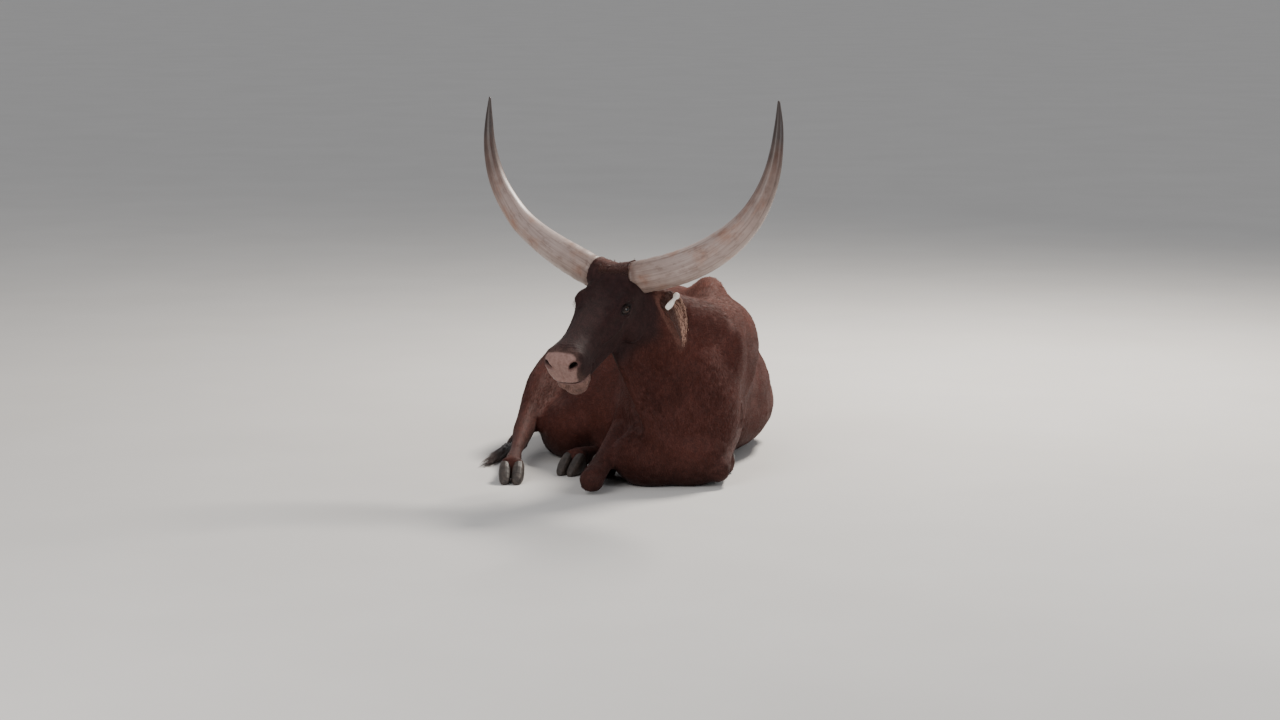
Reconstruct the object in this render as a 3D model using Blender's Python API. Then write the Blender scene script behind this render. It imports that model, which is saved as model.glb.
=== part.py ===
"""Ankole Watusi cow lying on the ground, life size: closed solids, one for each named part of the body.

The frame: the origin is on the floor under the brisket. The cow faces -Y, +X is its left side and +Z is up.
Everything is in metres. The flesh is fused as one body and then parted by thin cuts.
"""
import math
import random

import bmesh
import bpy
import numpy as np
from mathutils import Matrix, Vector

# Driving dimensions, in metres.
GAP = 0.0003            # between neighbouring parts
HEAD_SCALE = 1.04       # the skull's table is for a head 0.50 long from poll to muzzle
EYE_RADIUS = 0.0210
EAR_HALF_WIDTH = 0.047
BODY_VOXEL = 0.011
HEAD_VOXEL = 0.0055
BODY_FACES = 4200
HEAD_FACES = 2400
SEED = 7
CREASE = math.radians(50.0)

# The head's own frame: x to the animal's right, y from poll to nose, z out of the face.
POLL = Vector((-0.184, -0.24, 0.786))
NOSE_WAY = Vector((-0.43, -0.73, -0.53)).normalized()
LEFT_WAY = Vector((0.866, -0.50, 0.0))
FACE_WAY = NOSE_WAY.cross(LEFT_WAY).normalized()
RIGHT_WAY = -(FACE_WAY.cross(NOSE_WAY)).normalized()
TURN = Matrix((RIGHT_WAY, NOSE_WAY, FACE_WAY)).transposed().to_4x4()
HEAD = Matrix.Translation(POLL) @ TURN @ Matrix.Scale(HEAD_SCALE, 4)

# Trunk stations: y, centre x, centre z, half width, height over centre, depth under it, narrowing
# towards the back line, narrowing towards the breast bone.
TRUNK = [
    (-0.315, 0.028, 0.190, 0.070, 0.090, 0.130, 0.25, 0.20),
    (-0.250, 0.030, 0.220, 0.150, 0.180, 0.190, 0.32, 0.30),
    (-0.130, 0.024, 0.245, 0.205, 0.290, 0.250, 0.40, 0.48),
    (0.040, 0.016, 0.250, 0.228, 0.380, 0.262, 0.50, 0.44),
    (0.200, -0.030, 0.240, 0.300, 0.405, 0.258, 0.54, 0.16),
    (0.380, -0.035, 0.215, 0.378, 0.405, 0.240, 0.54, 0.0),
    (0.580, -0.016, 0.200, 0.390, 0.396, 0.230, 0.52, 0.0),
    (0.760, -0.022, 0.205, 0.350, 0.377, 0.232, 0.54, 0.0),
    (0.920, -0.048, 0.225, 0.285, 0.350, 0.245, 0.48, 0.0),
    (1.050, -0.070, 0.245, 0.228, 0.308, 0.255, 0.38, 0.0),
    (1.145, -0.088, 0.262, 0.172, 0.255, 0.225, 0.30, 0.0),
    (1.210, -0.100, 0.280, 0.112, 0.180, 0.160, 0.20, 0.0),
    (1.245, -0.104, 0.285, 0.055, 0.105, 0.085, 0.10, 0.0),
]
LEAN = math.radians(11.0)

# Neck stations: centre, half width, half height.
NECK = [
    (0.085, 0.160, 0.330, 0.205, 0.315),
    (0.055, 0.030, 0.385, 0.175, 0.280),
    (0.005, -0.070, 0.450, 0.138, 0.225),
    (-0.065, -0.150, 0.520, 0.112, 0.182),
    (-0.130, -0.205, 0.580, 0.098, 0.152),
    (-0.185, -0.250, 0.635, 0.092, 0.130),
]

# Dewlap, from the throat to the brisket: centre, half width, half depth.
DEWLAP = [
    (-0.200, -0.312, 0.500, 0.026, 0.052), (-0.150, -0.284, 0.400, 0.030, 0.078),
    (-0.088, -0.278, 0.290, 0.040, 0.095), (-0.034, -0.275, 0.185, 0.060, 0.100),
    (0.000, -0.255, 0.100, 0.085, 0.090),
]

# Head stations: y, half width, centre z, up, down, jaw narrowing, squareness.
SKULL = [
    (-0.045, 0.058, -0.100, 0.036, 0.062, 0.15, 2.2),
    (-0.022, 0.086, -0.086, 0.046, 0.087, 0.20, 2.4),
    (0.020, 0.098, -0.066, 0.050, 0.128, 0.30, 2.6),
    (0.080, 0.102, -0.048, 0.049, 0.172, 0.36, 2.7),
    (0.140, 0.102, -0.046, 0.044, 0.178, 0.40, 2.7),
    (0.190, 0.096, -0.046, 0.041, 0.168, 0.42, 2.6),
    (0.240, 0.083, -0.049, 0.044, 0.146, 0.40, 2.5),
    (0.300, 0.069, -0.051, 0.047, 0.118, 0.34, 2.4),
    (0.360, 0.062, -0.053, 0.050, 0.096, 0.26, 2.3),
    (0.405, 0.067, -0.056, 0.056, 0.086, 0.18, 2.3),
    (0.445, 0.075, -0.057, 0.060, 0.080, 0.14, 2.4),
    (0.482, 0.072, -0.059, 0.055, 0.072, 0.12, 2.5),
    (0.502, 0.056, -0.063, 0.038, 0.050, 0.10, 2.3),
]

# Horn centrelines from a point between their roots: sideways, back, up, radius.
HORN_MIDDLE = Vector((-0.194, -0.24, 0.791))
HORN_R = [
    (0.082, -0.003, -0.042, 0.0550), (0.116, 0.0, -0.033, 0.0565), (0.199, 0.005, 0.003, 0.0555),
    (0.282, 0.012, 0.042, 0.0515), (0.362, 0.021, 0.086, 0.0465), (0.435, 0.030, 0.137, 0.0425),
    (0.496, 0.041, 0.199, 0.0380), (0.546, 0.051, 0.268, 0.0328), (0.581, 0.063, 0.341, 0.0272),
    (0.603, 0.075, 0.418, 0.0208), (0.612, 0.087, 0.495, 0.0138), (0.617, 0.100, 0.572, 0.0040),
]
HORN_L = [
    (0.056, -0.004, -0.053, 0.0555), (0.107, 0.0, -0.046, 0.0585), (0.202, 0.005, -0.025, 0.0600),
    (0.291, 0.012, 0.005, 0.0590), (0.373, 0.021, 0.046, 0.0560), (0.445, 0.030, 0.097, 0.0510),
    (0.504, 0.041, 0.160, 0.0440), (0.546, 0.051, 0.232, 0.0368), (0.572, 0.063, 0.310, 0.0298),
    (0.583, 0.075, 0.391, 0.0228), (0.584, 0.087, 0.473, 0.0155), (0.576, 0.100, 0.555, 0.0045),
]
HORN_SIDE = Vector((0.848, -0.529, 0.035))
HORN_BACK = Vector((0.536, 0.844, 0.0))
SLEEVE = 0.016          # how far the skin reaches out along a horn from its root

# Legs: points down each leg with half width and half depth.
FORE_R = [
    (-0.075, -0.120, 0.350, 0.080, 0.090), (-0.130, -0.030, 0.235, 0.074, 0.085),
    (-0.168, 0.000, 0.160, 0.064, 0.072), (-0.205, -0.110, 0.126, 0.053, 0.058),
    (-0.246, -0.250, 0.092, 0.043, 0.044), (-0.278, -0.360, 0.064, 0.045, 0.043),
    (-0.290, -0.418, 0.052, 0.045, 0.042),
]
SHIN_FORE_R = [
    (-0.290, -0.418, 0.046, 0.040, 0.038), (-0.282, -0.330, 0.034, 0.032, 0.031),
    (-0.270, -0.240, 0.033, 0.027, 0.028), (-0.258, -0.155, 0.036, 0.032, 0.032),
]
FORE_L = [
    (0.140, -0.100, 0.340, 0.080, 0.090), (0.180, 0.040, 0.225, 0.074, 0.085),
    (0.190, 0.085, 0.155, 0.062, 0.072), (0.180, -0.020, 0.124, 0.053, 0.058),
    (0.166, -0.140, 0.098, 0.044, 0.046), (0.155, -0.225, 0.074, 0.046, 0.045),
    (0.150, -0.272, 0.062, 0.046, 0.044),
]
SHIN_FORE_L = [
    (0.150, -0.272, 0.055, 0.040, 0.038), (0.160, -0.190, 0.035, 0.032, 0.031),
    (0.170, -0.110, 0.033, 0.027, 0.028), (0.178, -0.040, 0.036, 0.032, 0.032),
]
HIND_R = [
    (-0.150, 1.020, 0.330, 0.120, 0.150), (-0.270, 0.890, 0.300, 0.125, 0.150),
    (-0.380, 0.740, 0.270, 0.105, 0.130), (-0.450, 0.610, 0.242, 0.092, 0.108),
    (-0.500, 0.480, 0.198, 0.066, 0.086), (-0.538, 0.350, 0.142, 0.044, 0.060),
    (-0.556, 0.250, 0.104, 0.041, 0.050), (-0.566, 0.150, 0.082, 0.031, 0.036),
    (-0.573, 0.040, 0.068, 0.028, 0.030), (-0.576, -0.080, 0.062, 0.034, 0.036),
    (-0.578, -0.150, 0.056, 0.036, 0.040),
]
HIND_L = [
    (0.060, 1.000, 0.250, 0.115, 0.150), (0.208, 0.860, 0.190, 0.124, 0.145),
    (0.278, 0.690, 0.150, 0.108, 0.134), (0.225, 0.570, 0.110, 0.085, 0.090),
    (0.050, 0.480, 0.080, 0.060, 0.065), (-0.100, 0.380, 0.066, 0.045, 0.050),
    (-0.180, 0.290, 0.056, 0.034, 0.036), (-0.265, 0.170, 0.052, 0.029, 0.030),
    (-0.325, 0.070, 0.054, 0.034, 0.036), (-0.352, 0.015, 0.056, 0.036, 0.040),
]

# Feet: where the hoof starts, the way the toe points, the way its front faces.
FEET = {
    "fore_R": ((-0.254, -0.112, 0.033), (0.10, 0.995, 0.0), (0.0, 0.0, -1.0)),
    "fore_L": ((0.172, 0.000, 0.033), (0.02, 1.0, 0.0), (0.0, 0.0, -1.0)),
    "hind_R": ((-0.5785, -0.156, 0.0465), (-0.03, -1.0, 0.0), (0.0, 0.0, 1.0)),
    "hind_L": ((-0.356, 0.008, 0.0465), (-0.42, -0.91, 0.0), (0.0, 0.0, 1.0)),
}

# The tail, laid over the right side of the rump and thigh to the floor: point and radius.
TAIL = [
    (-0.088, 1.120, 0.478, 0.034), (-0.116, 1.222, 0.455, 0.031), (-0.172, 1.262, 0.370, 0.026),
    (-0.245, 1.240, 0.250, 0.022), (-0.335, 1.180, 0.130, 0.019), (-0.435, 1.085, 0.048, 0.017),
    (-0.530, 0.940, 0.020, 0.0155), (-0.592, 0.780, 0.016, 0.0145), (-0.615, 0.620, 0.015, 0.0135),
    (-0.620, 0.500, 0.0145, 0.0125),
]
SWITCH = [(-0.620, 0.500, 0.0145), (-0.632, 0.380, 0.016), (-0.660, 0.230, 0.014), (-0.690, 0.080, 0.009)]

# Cuts that part the fused flesh: name, a point on the cut's middle, the way the box runs, half sizes.
CUTS = [
    ("foot_hind_R", (-0.575, -0.060, 0.075), (0.0, -1.0, 0.0), (0.085, 0.265, 0.125)),
    ("leg_hind_R", (-0.553, 0.505, 0.175), (-0.262, -0.965, 0.0), (0.200, 0.700, 0.225)),
    ("foot_hind_L", (-0.375, -0.030, 0.062), (-0.55, -0.835, 0.0), (0.085, 0.215, 0.075)),
    ("leg_hind_L", (0.360, 0.850, 0.150), (0.30, -0.954, 0.0), (0.200, 0.420, 0.200)),
    ("leg_fore_R", (-0.265, -0.235, 0.095), (-0.25, -0.968, 0.0), (0.105, 0.310, 0.115)),
    ("leg_fore_L", (0.238, -0.110, 0.095), (-0.13, -0.991, 0.0), (0.110, 0.290, 0.115)),
]
NECK_CUT = ((0.040, -0.060, 0.440), (-0.33, -0.70, 0.63))


def clear_scene():
    """Removes every object that the scene starts with."""
    for old in list(bpy.data.objects):
        bpy.data.objects.remove(old, do_unlink=True)


def spline(rows, count):
    """Rows of a table, resampled at even steps along a smooth curve through them."""
    rows = np.array(rows, float)
    padded = np.vstack([2 * rows[0] - rows[1], rows, 2 * rows[-1] - rows[-2]])
    out = []
    for place in np.linspace(0, len(rows) - 1, count):
        index = min(int(place), len(rows) - 2)
        t = place - index
        a, b, c, d = padded[index:index + 4]
        out.append(0.5 * (2 * b + (c - a) * t + (2 * a - 5 * b + 4 * c - d) * t * t
                          + (3 * b - a - 3 * c + d) * t ** 3))
    return np.array(out)


def new_object(name, bm):
    """A mesh object from a bmesh, in triangles that face outwards."""
    bmesh.ops.triangulate(bm, faces=bm.faces[:])
    bmesh.ops.recalc_face_normals(bm, faces=bm.faces[:])
    mesh = bpy.data.meshes.new(name)
    bm.to_mesh(mesh)
    bm.free()
    obj = bpy.data.objects.new(name, mesh)
    bpy.context.scene.collection.objects.link(obj)
    return obj


def ring_solid(name, rings):
    """A closed solid through rings of equal length, with a fan over each end."""
    bm = bmesh.new()
    rows = [[bm.verts.new(p) for p in ring] for ring in rings]
    count = len(rows[0])
    for near, far in zip(rows, rows[1:]):
        for i in range(count):
            j = (i + 1) % count
            bm.faces.new((near[i], near[j], far[j], far[i]))
    for row in (rows[0], rows[-1]):
        middle = bm.verts.new(sum((v.co for v in row), Vector()) / count)
        for i in range(count):
            bm.faces.new((row[i], row[(i + 1) % count], middle))
    return new_object(name, bm)


def power(value, exponent):
    """A signed power, for rounded squares."""
    return math.copysign(abs(value) ** exponent, value)


def limb(name, rows, sides=16, steps=6, up=(0, 0, 1), caps=3, flat=()):
    """A tube along points with a half width and a half depth at each; flat names the ends left unrounded."""
    table = spline(rows, (len(rows) - 1) * steps + 1)
    points = [Vector(r[:3]) for r in table]
    rings = []
    up = Vector(up)
    for k, row in enumerate(table):
        way = points[min(k + 1, len(points) - 1)] - points[max(k - 1, 0)]
        way.normalize()
        side = way.cross(up).normalized()
        rise = side.cross(way)
        wide, deep = row[3], row[4] if len(row) > 4 else row[3]

        def ring(centre, scale):
            return [centre + side * (wide * scale * math.cos(a)) + rise * (deep * scale * math.sin(a))
                    for a in np.linspace(0, 2 * math.pi, sides, endpoint=False)]

        if k == 0 and "start" not in flat:
            for j in range(caps, 0, -1):
                angle = math.pi / 2 * j / (caps + 0.5)
                rings.append(ring(points[k] - way * (min(wide, deep) * math.sin(angle)), math.cos(angle)))
        rings.append(ring(points[k], 1.0))
        if k == len(table) - 1 and "end" not in flat:
            for j in range(1, caps + 1):
                angle = math.pi / 2 * j / (caps + 0.5)
                rings.append(ring(points[k] + way * (min(wide, deep) * math.sin(angle)), math.cos(angle)))
    return ring_solid(name, rings)


def blob(name, centre, radii, turn=None, frame=None, fine=3):
    """An ellipsoid, turned by Euler degrees and then placed in a frame."""
    bm = bmesh.new()
    bmesh.ops.create_icosphere(bm, subdivisions=fine, radius=1.0)
    spin = Matrix.Identity(4)
    if turn:
        for axis, angle in zip("XYZ", turn):
            spin = Matrix.Rotation(math.radians(angle), 4, axis) @ spin
    size = Matrix.Diagonal((*radii, 1.0))
    whole = (frame or Matrix.Identity(4)) @ Matrix.Translation(Vector(centre)) @ spin @ size
    bmesh.ops.transform(bm, matrix=whole, verts=bm.verts[:])
    return new_object(name, bm)


def box_object(name, matrix, half):
    """A box with half sizes, placed by a matrix."""
    bm = bmesh.new()
    bmesh.ops.create_cube(bm, size=2.0)
    bmesh.ops.transform(bm, matrix=matrix @ Matrix.Diagonal((*half, 1.0)), verts=bm.verts[:])
    return new_object(name, bm)


def settle(obj):
    """Makes an object's modifiers part of its mesh."""
    bpy.context.view_layer.update()
    graph = bpy.context.evaluated_depsgraph_get()
    mesh = bpy.data.meshes.new_from_object(obj.evaluated_get(graph))
    old = obj.data
    obj.modifiers.clear()
    obj.data = mesh
    bpy.data.meshes.remove(old)
    return obj


def drop(*objects):
    for obj in objects:
        bpy.data.objects.remove(obj, do_unlink=True)


def copied(obj, name):
    twin = obj.copy()
    twin.data = obj.data.copy()
    twin.name = name
    bpy.context.scene.collection.objects.link(twin)
    return twin


def volume(obj):
    bm = bmesh.new()
    bm.from_mesh(obj.data)
    amount = bm.calc_volume(signed=True)
    bm.free()
    return amount


def closed(obj):
    """Whether every edge of an object has two faces."""
    bm = bmesh.new()
    bm.from_mesh(obj.data)
    whole = all(edge.is_manifold for edge in bm.edges)
    bm.free()
    return whole


def boolean(obj, cutter, operation, solvers=("EXACT", "MANIFOLD")):
    """One Boolean, applied. The cutter stays. Where a solver's result is open or wrong, the next one runs."""
    before, tool = volume(obj), volume(cutter)
    low, high = {"DIFFERENCE": (before - tool, before), "UNION": (max(before, tool), before + tool),
                 "INTERSECT": (0.0, min(before, tool))}[operation]
    start, second_best = obj.data.copy(), None
    ready = closed(obj) and closed(cutter)
    for solver in solvers:
        if solver == "MANIFOLD" and not ready:
            continue
        step = obj.modifiers.new("cut", "BOOLEAN")
        step.operation = operation
        step.object = cutter
        step.solver = solver
        settle(obj)
        after = volume(obj)
        if obj.data.polygons and 0.999 * low - 1e-9 <= after <= 1.001 * high + 1e-9:
            if closed(obj):
                return obj
            second_best = obj.data.copy()
        print("another solver for", obj.name, operation, solver)
        obj.data = start.copy()
    obj.data = second_best or start
    return obj


def fatten(obj, distance):
    """Moves each point out along its normal."""
    bm = bmesh.new()
    bm.from_mesh(obj.data)
    bm.normal_update()
    for v in bm.verts:
        v.co += v.normal * distance
    bm.to_mesh(obj.data)
    bm.free()
    return obj


def tidy(obj, least=1e-7):
    """Merges points that fall together, which Booleans leave."""
    bm = bmesh.new()
    bm.from_mesh(obj.data)
    bmesh.ops.remove_doubles(bm, verts=bm.verts[:], dist=least)
    bmesh.ops.dissolve_degenerate(bm, dist=least, edges=bm.edges[:])
    bmesh.ops.triangulate(bm, faces=bm.faces[:])
    bm.to_mesh(obj.data)
    bm.free()
    return obj


def islands(bm):
    """The separate surfaces of a bmesh, largest volume first."""
    left = set(bm.verts)
    found = []
    while left:
        stack = [left.pop()]
        group = set(stack)
        while stack:
            v = stack.pop()
            for edge in v.link_edges:
                other = edge.other_vert(v)
                if other in left:
                    left.remove(other)
                    group.add(other)
                    stack.append(other)
        faces = {f for v in group for f in v.link_faces}
        volume = 0.0
        for f in faces:
            corners = [v.co for v in f.verts]
            for i in range(1, len(corners) - 1):
                volume += corners[0].dot(corners[i].cross(corners[i + 1])) / 6
        found.append((volume, group))
    return sorted(found, key=lambda item: -item[0])


def largest(obj):
    """Keeps only the largest closed surface."""
    bm = bmesh.new()
    bm.from_mesh(obj.data)
    for _, group in islands(bm)[1:]:
        bmesh.ops.delete(bm, geom=list(group), context="VERTS")
    bm.to_mesh(obj.data)
    bm.free()
    return obj


def fuse(name, parts, voxel, rounds):
    """One closed surface round all the parts, smoothed. The parts are removed."""
    bm = bmesh.new()
    for part in parts:
        bm.from_mesh(part.data)
    whole = new_object(name, bm)
    drop(*parts)
    remesh = whole.modifiers.new("remesh", "REMESH")
    remesh.mode = "VOXEL"
    remesh.voxel_size = voxel
    smooth = whole.modifiers.new("smooth", "SMOOTH")
    smooth.factor = 0.5
    smooth.iterations = rounds
    return largest(settle(whole))


def thin(obj, faces):
    """Fewer triangles, with the same form."""
    step = obj.modifiers.new("thin", "DECIMATE")
    step.ratio = min(1.0, faces / (2 * len(obj.data.polygons)))
    step.use_collapse_triangulate = True
    return settle(obj)


def carve(obj, name, matrix, half):
    """Takes the piece of obj inside a box as an object of its own and leaves a thin gap round it."""
    inner = box_object("cutter", matrix, half)
    outer = box_object("cutter", matrix, [h + GAP for h in half])
    piece = boolean(copied(obj, name), inner, "INTERSECT")
    boolean(obj, outer, "DIFFERENCE")
    drop(inner, outer)
    return piece


def seat(host, guest, gap=1.6 * GAP):
    """Makes room in the host for a guest, with a thin gap all round."""
    room = fatten(copied(guest, "room"), gap)
    boolean(host, room, "DIFFERENCE", ("MANIFOLD", "EXACT"))
    drop(room)
    return host


def looking(centre, forward, up=(0, 0, 1)):
    """A frame at a point with y along forward."""
    y = Vector(forward).normalized()
    x = y.cross(Vector(up)).normalized()
    z = x.cross(y)
    return Matrix.Translation(Vector(centre)) @ Matrix((x, y, z)).transposed().to_4x4()


def trunk_solid():
    rings = []
    for y, cx, cz, wide, rise, fall, narrow, keel in spline(TRUNK, 49):
        ring = []
        for a in np.linspace(0, 2 * math.pi, 40, endpoint=False):
            c, s = math.cos(a), math.sin(a)
            width = wide * power(c, 0.92)
            if s > 0:
                width *= 1 - narrow * s ** 1.5
                z = cz + rise * power(s, 0.96)
            else:
                width *= 1 - keel * abs(s) ** 2
                z = cz + fall * power(s, 0.58)
            ring.append(Vector((cx + width + math.tan(LEAN) * max(z - cz, 0.0), y, z)))
        rings.append(ring)
    return ring_solid("trunk", rings)


def skull_solid():
    rings = []
    for y, wide, centre, rise, fall, narrow, square in spline(SKULL, 50):
        ring = []
        for a in np.linspace(0, 2 * math.pi, 32, endpoint=False):
            c, s = math.cos(a), math.sin(a)
            width = wide * power(c, 2 / square)
            if s < 0:
                width *= 1 - narrow * abs(s) ** 1.3
                z = centre + fall * power(s, 2 / 2.1)
            else:
                z = centre + rise * power(s, 2 / square)
            ring.append(HEAD @ Vector((width, y, z)))
        rings.append(ring)
    return ring_solid("skull", rings)


def prism(name, outline, half, matrix):
    """A prism with its outline in the y and z of a frame, as thick as twice half."""
    bm = bmesh.new()
    sides = [[bm.verts.new(matrix @ Vector((x, y, z))) for y, z in outline] for x in (-half, half)]
    bm.faces.new(sides[0])
    bm.faces.new(sides[1][::-1])
    count = len(outline)
    for i in range(count):
        j = (i + 1) % count
        bm.faces.new((sides[0][i], sides[1][i], sides[1][j], sides[0][j]))
    return new_object(name, bm)


def barrel_mass():
    """Trunk, hump, shoulders, pelvis and haunches, fused softly so that they run into each other."""
    parts = [trunk_solid()]
    parts.append(blob("hump", (0.112, 0.190, 0.570), (0.078, 0.165, 0.128), (0, 10, 0)))
    parts.append(blob("blade_R", (-0.112, 0.010, 0.380), (0.080, 0.140, 0.215), (18, 8, -8)))
    parts.append(blob("blade_L", (0.172, 0.020, 0.360), (0.080, 0.140, 0.215), (18, 8, 8)))
    parts.append(blob("hook_R", (-0.172, 0.890, 0.468), (0.092, 0.140, 0.075), (0, -18, 0)))
    parts.append(blob("hook_L", (0.120, 0.890, 0.410), (0.085, 0.130, 0.080), (0, 25, 0)))
    parts.append(blob("pin_R", (-0.155, 1.150, 0.400), (0.062, 0.090, 0.070)))
    parts.append(blob("pin_L", (-0.030, 1.155, 0.380), (0.062, 0.085, 0.070)))
    parts.append(blob("flank_R", (-0.385, 0.375, 0.100), (0.115, 0.230, 0.125), (-8, 0, 8)))
    parts.append(limb("rump", [(-0.01, 0.86, 0.47, 0.12, 0.11), (-0.05, 1.03, 0.445, 0.11, 0.11),
                               (-0.09, 1.16, 0.415, 0.080, 0.085)]))
    parts.append(blob("haunch_R", (-0.205, 0.985, 0.255), (0.165, 0.215, 0.215), (0, 18, 20)))
    parts.append(blob("haunch_L", (0.095, 0.965, 0.205), (0.170, 0.220, 0.215), (0, 15, -15)))
    parts.append(limb("thigh_R", HIND_R[:5], sides=20))
    parts.append(limb("thigh_L", HIND_L[:5], sides=20))
    parts.append(limb("neck", NECK, sides=24, up=(0.45, 0, 1)))
    parts.append(limb("dewlap", DEWLAP, up=(-0.35, -0.75, -0.40)))
    parts.append(blob("brisket", (-0.085, -0.235, 0.100), (0.145, 0.120, 0.120)))
    parts.append(blob("brisket", (0.050, -0.225, 0.105), (0.140, 0.125, 0.125)))
    return fuse("barrel", parts, 0.013, 20)


def leg_parts():
    """The legs with their joints, as closed solids that overlap."""
    parts = []
    for name, rows in (("fore_R", FORE_R), ("fore_L", FORE_L), ("hind_R", HIND_R), ("hind_L", HIND_L),
                       ("shin_R", SHIN_FORE_R), ("shin_L", SHIN_FORE_L)):
        parts.append(limb(name, rows))
    # Knee caps, the point of the hock, and the dew claws behind each fetlock.
    parts.append(blob("knee_R", (-0.292, -0.426, 0.050), (0.050, 0.045, 0.048)))
    parts.append(blob("knee_L", (0.149, -0.276, 0.060), (0.050, 0.045, 0.050)))
    parts.append(blob("heel_R", (-0.556, 0.292, 0.080), (0.028, 0.062, 0.048), (24, 0, 0)))
    for side in (-1, 1):
        parts.append(blob("dew", (-0.576 + 0.024 * side, -0.085, 0.026), (0.013, 0.015, 0.019)))
        parts.append(blob("dew", (-0.328 + 0.022 * side, 0.068 + 0.012 * side, 0.026), (0.013, 0.015, 0.019)))
        parts.append(blob("dew", (-0.256 + 0.022 * side, -0.165, 0.066), (0.013, 0.015, 0.016)))
    return parts


def face_parts():
    """The forms that give the face its bones and lips."""
    parts = []
    for side in (-1, 1):
        parts.append(blob("brow", (0.078 * side, 0.160, -0.030), (0.032, 0.048, 0.026), (0, 0, -8 * side), HEAD))
        parts.append(blob("orbit", (0.079 * side, 0.186, -0.048), (0.026, 0.040, 0.034), None, HEAD))
        parts.append(blob("cheek", (0.056 * side, 0.115, -0.140), (0.040, 0.092, 0.078), (0, 0, -6 * side), HEAD))
        parts.append(blob("jaw", (0.040 * side, 0.050, -0.172), (0.034, 0.052, 0.048), None, HEAD))
        parts.append(blob("ridge", (0.066 * side, 0.265, -0.072), (0.020, 0.075, 0.022), (0, 0, 10 * side), HEAD))
        parts.append(horn_seat(HORN_R if side > 0 else HORN_L, -side))
        parts.append(blob("ear_seat", (0.090 * side, 0.020, -0.108), (0.032, 0.036, 0.036), None, HEAD))
        parts.append(blob("nostril_wing", (0.042 * side, 0.458, -0.036), (0.032, 0.036, 0.033), None, HEAD))
        parts.append(blob("lip", (0.043 * side, 0.448, -0.090), (0.031, 0.048, 0.027), None, HEAD))
        parts.append(blob("lower_lip", (0.028 * side, 0.452, -0.136), (0.030, 0.044, 0.027), None, HEAD))
    parts.append(blob("crest", (0.0, 0.006, -0.064), (0.088, 0.042, 0.046), None, HEAD))
    parts.append(limb("jaw_bone", [tuple(HEAD @ Vector((0, 0.15, -0.168))) + (0.052, 0.038),
                                   tuple(HEAD @ Vector((0, 0.28, -0.154))) + (0.043, 0.032),
                                   tuple(HEAD @ Vector((0, 0.40, -0.140))) + (0.043, 0.028),
                                   tuple(HEAD @ Vector((0, 0.455, -0.138))) + (0.044, 0.025)],
                      up=tuple(FACE_WAY)))
    parts.append(blob("chin", (0.0, 0.448, -0.158), (0.044, 0.042, 0.034), None, HEAD))
    return parts


def eye_frame(side):
    """The middle of an eye, the way it looks, and the ways along and across its slit."""
    centre = Vector((0.0815 * side, 0.186, -0.047))
    out = Vector((0.94 * side, 0.10, 0.30)).normalized()
    along = (Vector((0.0, 1.0, 0.12)) - out * out.dot(Vector((0.0, 1.0, 0.12)))).normalized()
    across = along.cross(out) * side
    if across.z < 0:
        across = -across
    return centre, out, along, across


def lids(head, side):
    """Opens the slit of an eye and lays an upper and a lower lid along it."""
    centre, out, along, across = eye_frame(side)
    frame = HEAD @ Matrix.Translation(centre + out * 0.028) @ Matrix((along, across, out)).transposed().to_4x4()
    slit = blob("slit", (0, 0, 0), (0.0205, 0.0100, 0.028), None, frame, 2)
    boolean(head, slit, "DIFFERENCE")
    drop(slit)
    for rise, size in ((0.0120, 0.0046), (-0.0098, 0.0034)):
        rows = []
        for k in range(7):
            t = -1 + k / 3
            a, b = 0.0225 * t, rise * (1 - t * t)
            deep = math.sqrt(max(0.0, (EYE_RADIUS + 0.0022) ** 2 - (a * 0.86) ** 2 - b * b))
            p = HEAD @ (centre + along * a + across * b + out * deep)
            rows.append((*p, size * (1 - 0.35 * t * t), size * (1 - 0.35 * t * t)))
        lid = limb("lid", rows, sides=8, steps=1, up=tuple(HEAD.to_3x3() @ out), caps=1)
        boolean(head, lid, "UNION")
        drop(lid)


def mouth_and_nostrils(head):
    """The line of the mouth round the muzzle, and the two nostrils."""
    line = [(0.052, 0.372, -0.122), (0.064, 0.408, -0.118), (0.070, 0.446, -0.115), (0.060, 0.480, -0.113),
            (0.032, 0.498, -0.112), (0.0, 0.502, -0.112)]
    line = line + [(-x, y, z) for x, y, z in line[-2::-1]]
    cut = limb("cut", [(*(HEAD @ Vector(p)), 0.010, 0.0021) for p in line], sides=8, steps=2,
               up=tuple(FACE_WAY), caps=1)
    boolean(head, cut, "DIFFERENCE")
    drop(cut)
    for side in (-1, 1):
        hole = limb("hole", [(*(HEAD @ Vector((0.034 * side, 0.498, -0.048))), 0.0085, 0.0070),
                             (*(HEAD @ Vector((0.046 * side, 0.494, -0.040))), 0.0110, 0.0115),
                             (*(HEAD @ Vector((0.058 * side, 0.478, -0.033))), 0.0090, 0.0060)],
                    sides=10, steps=2, up=tuple(FACE_WAY), caps=2)
        boolean(head, hole, "DIFFERENCE")
        drop(hole)


def horn_path(rows, side, more=0.0):
    """A horn's centreline in space with its radius, from its table."""
    path = []
    for across, back, up, radius in rows:
        p = HORN_MIDDLE + HORN_SIDE * (across * side) + HORN_BACK * back + Vector((0, 0, up))
        path.append((*p, radius + more, radius + more))
    return path


def horn(name, rows, side):
    """A tapering horn along its centreline, with a flat root inside the skull."""
    return limb(name, horn_path(rows, side), sides=14, steps=2, up=(0, 1, 0.15), caps=2, flat=("start",))


def horn_seat(rows, side):
    """The skull and skin round a horn's root: a short sleeve that ends just past it."""
    root = Vector(rows[0][:3])
    way = (Vector(rows[1][:3]) - root).normalized()
    radius = rows[0][3]
    sleeve = [(*(root + way * along), radius) for along in (-0.050, -0.015, SLEEVE)]
    return limb("horn_seat", horn_path(sleeve, side, 0.006), steps=3, up=(0, 1, 0.15), flat=("end",))


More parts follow.
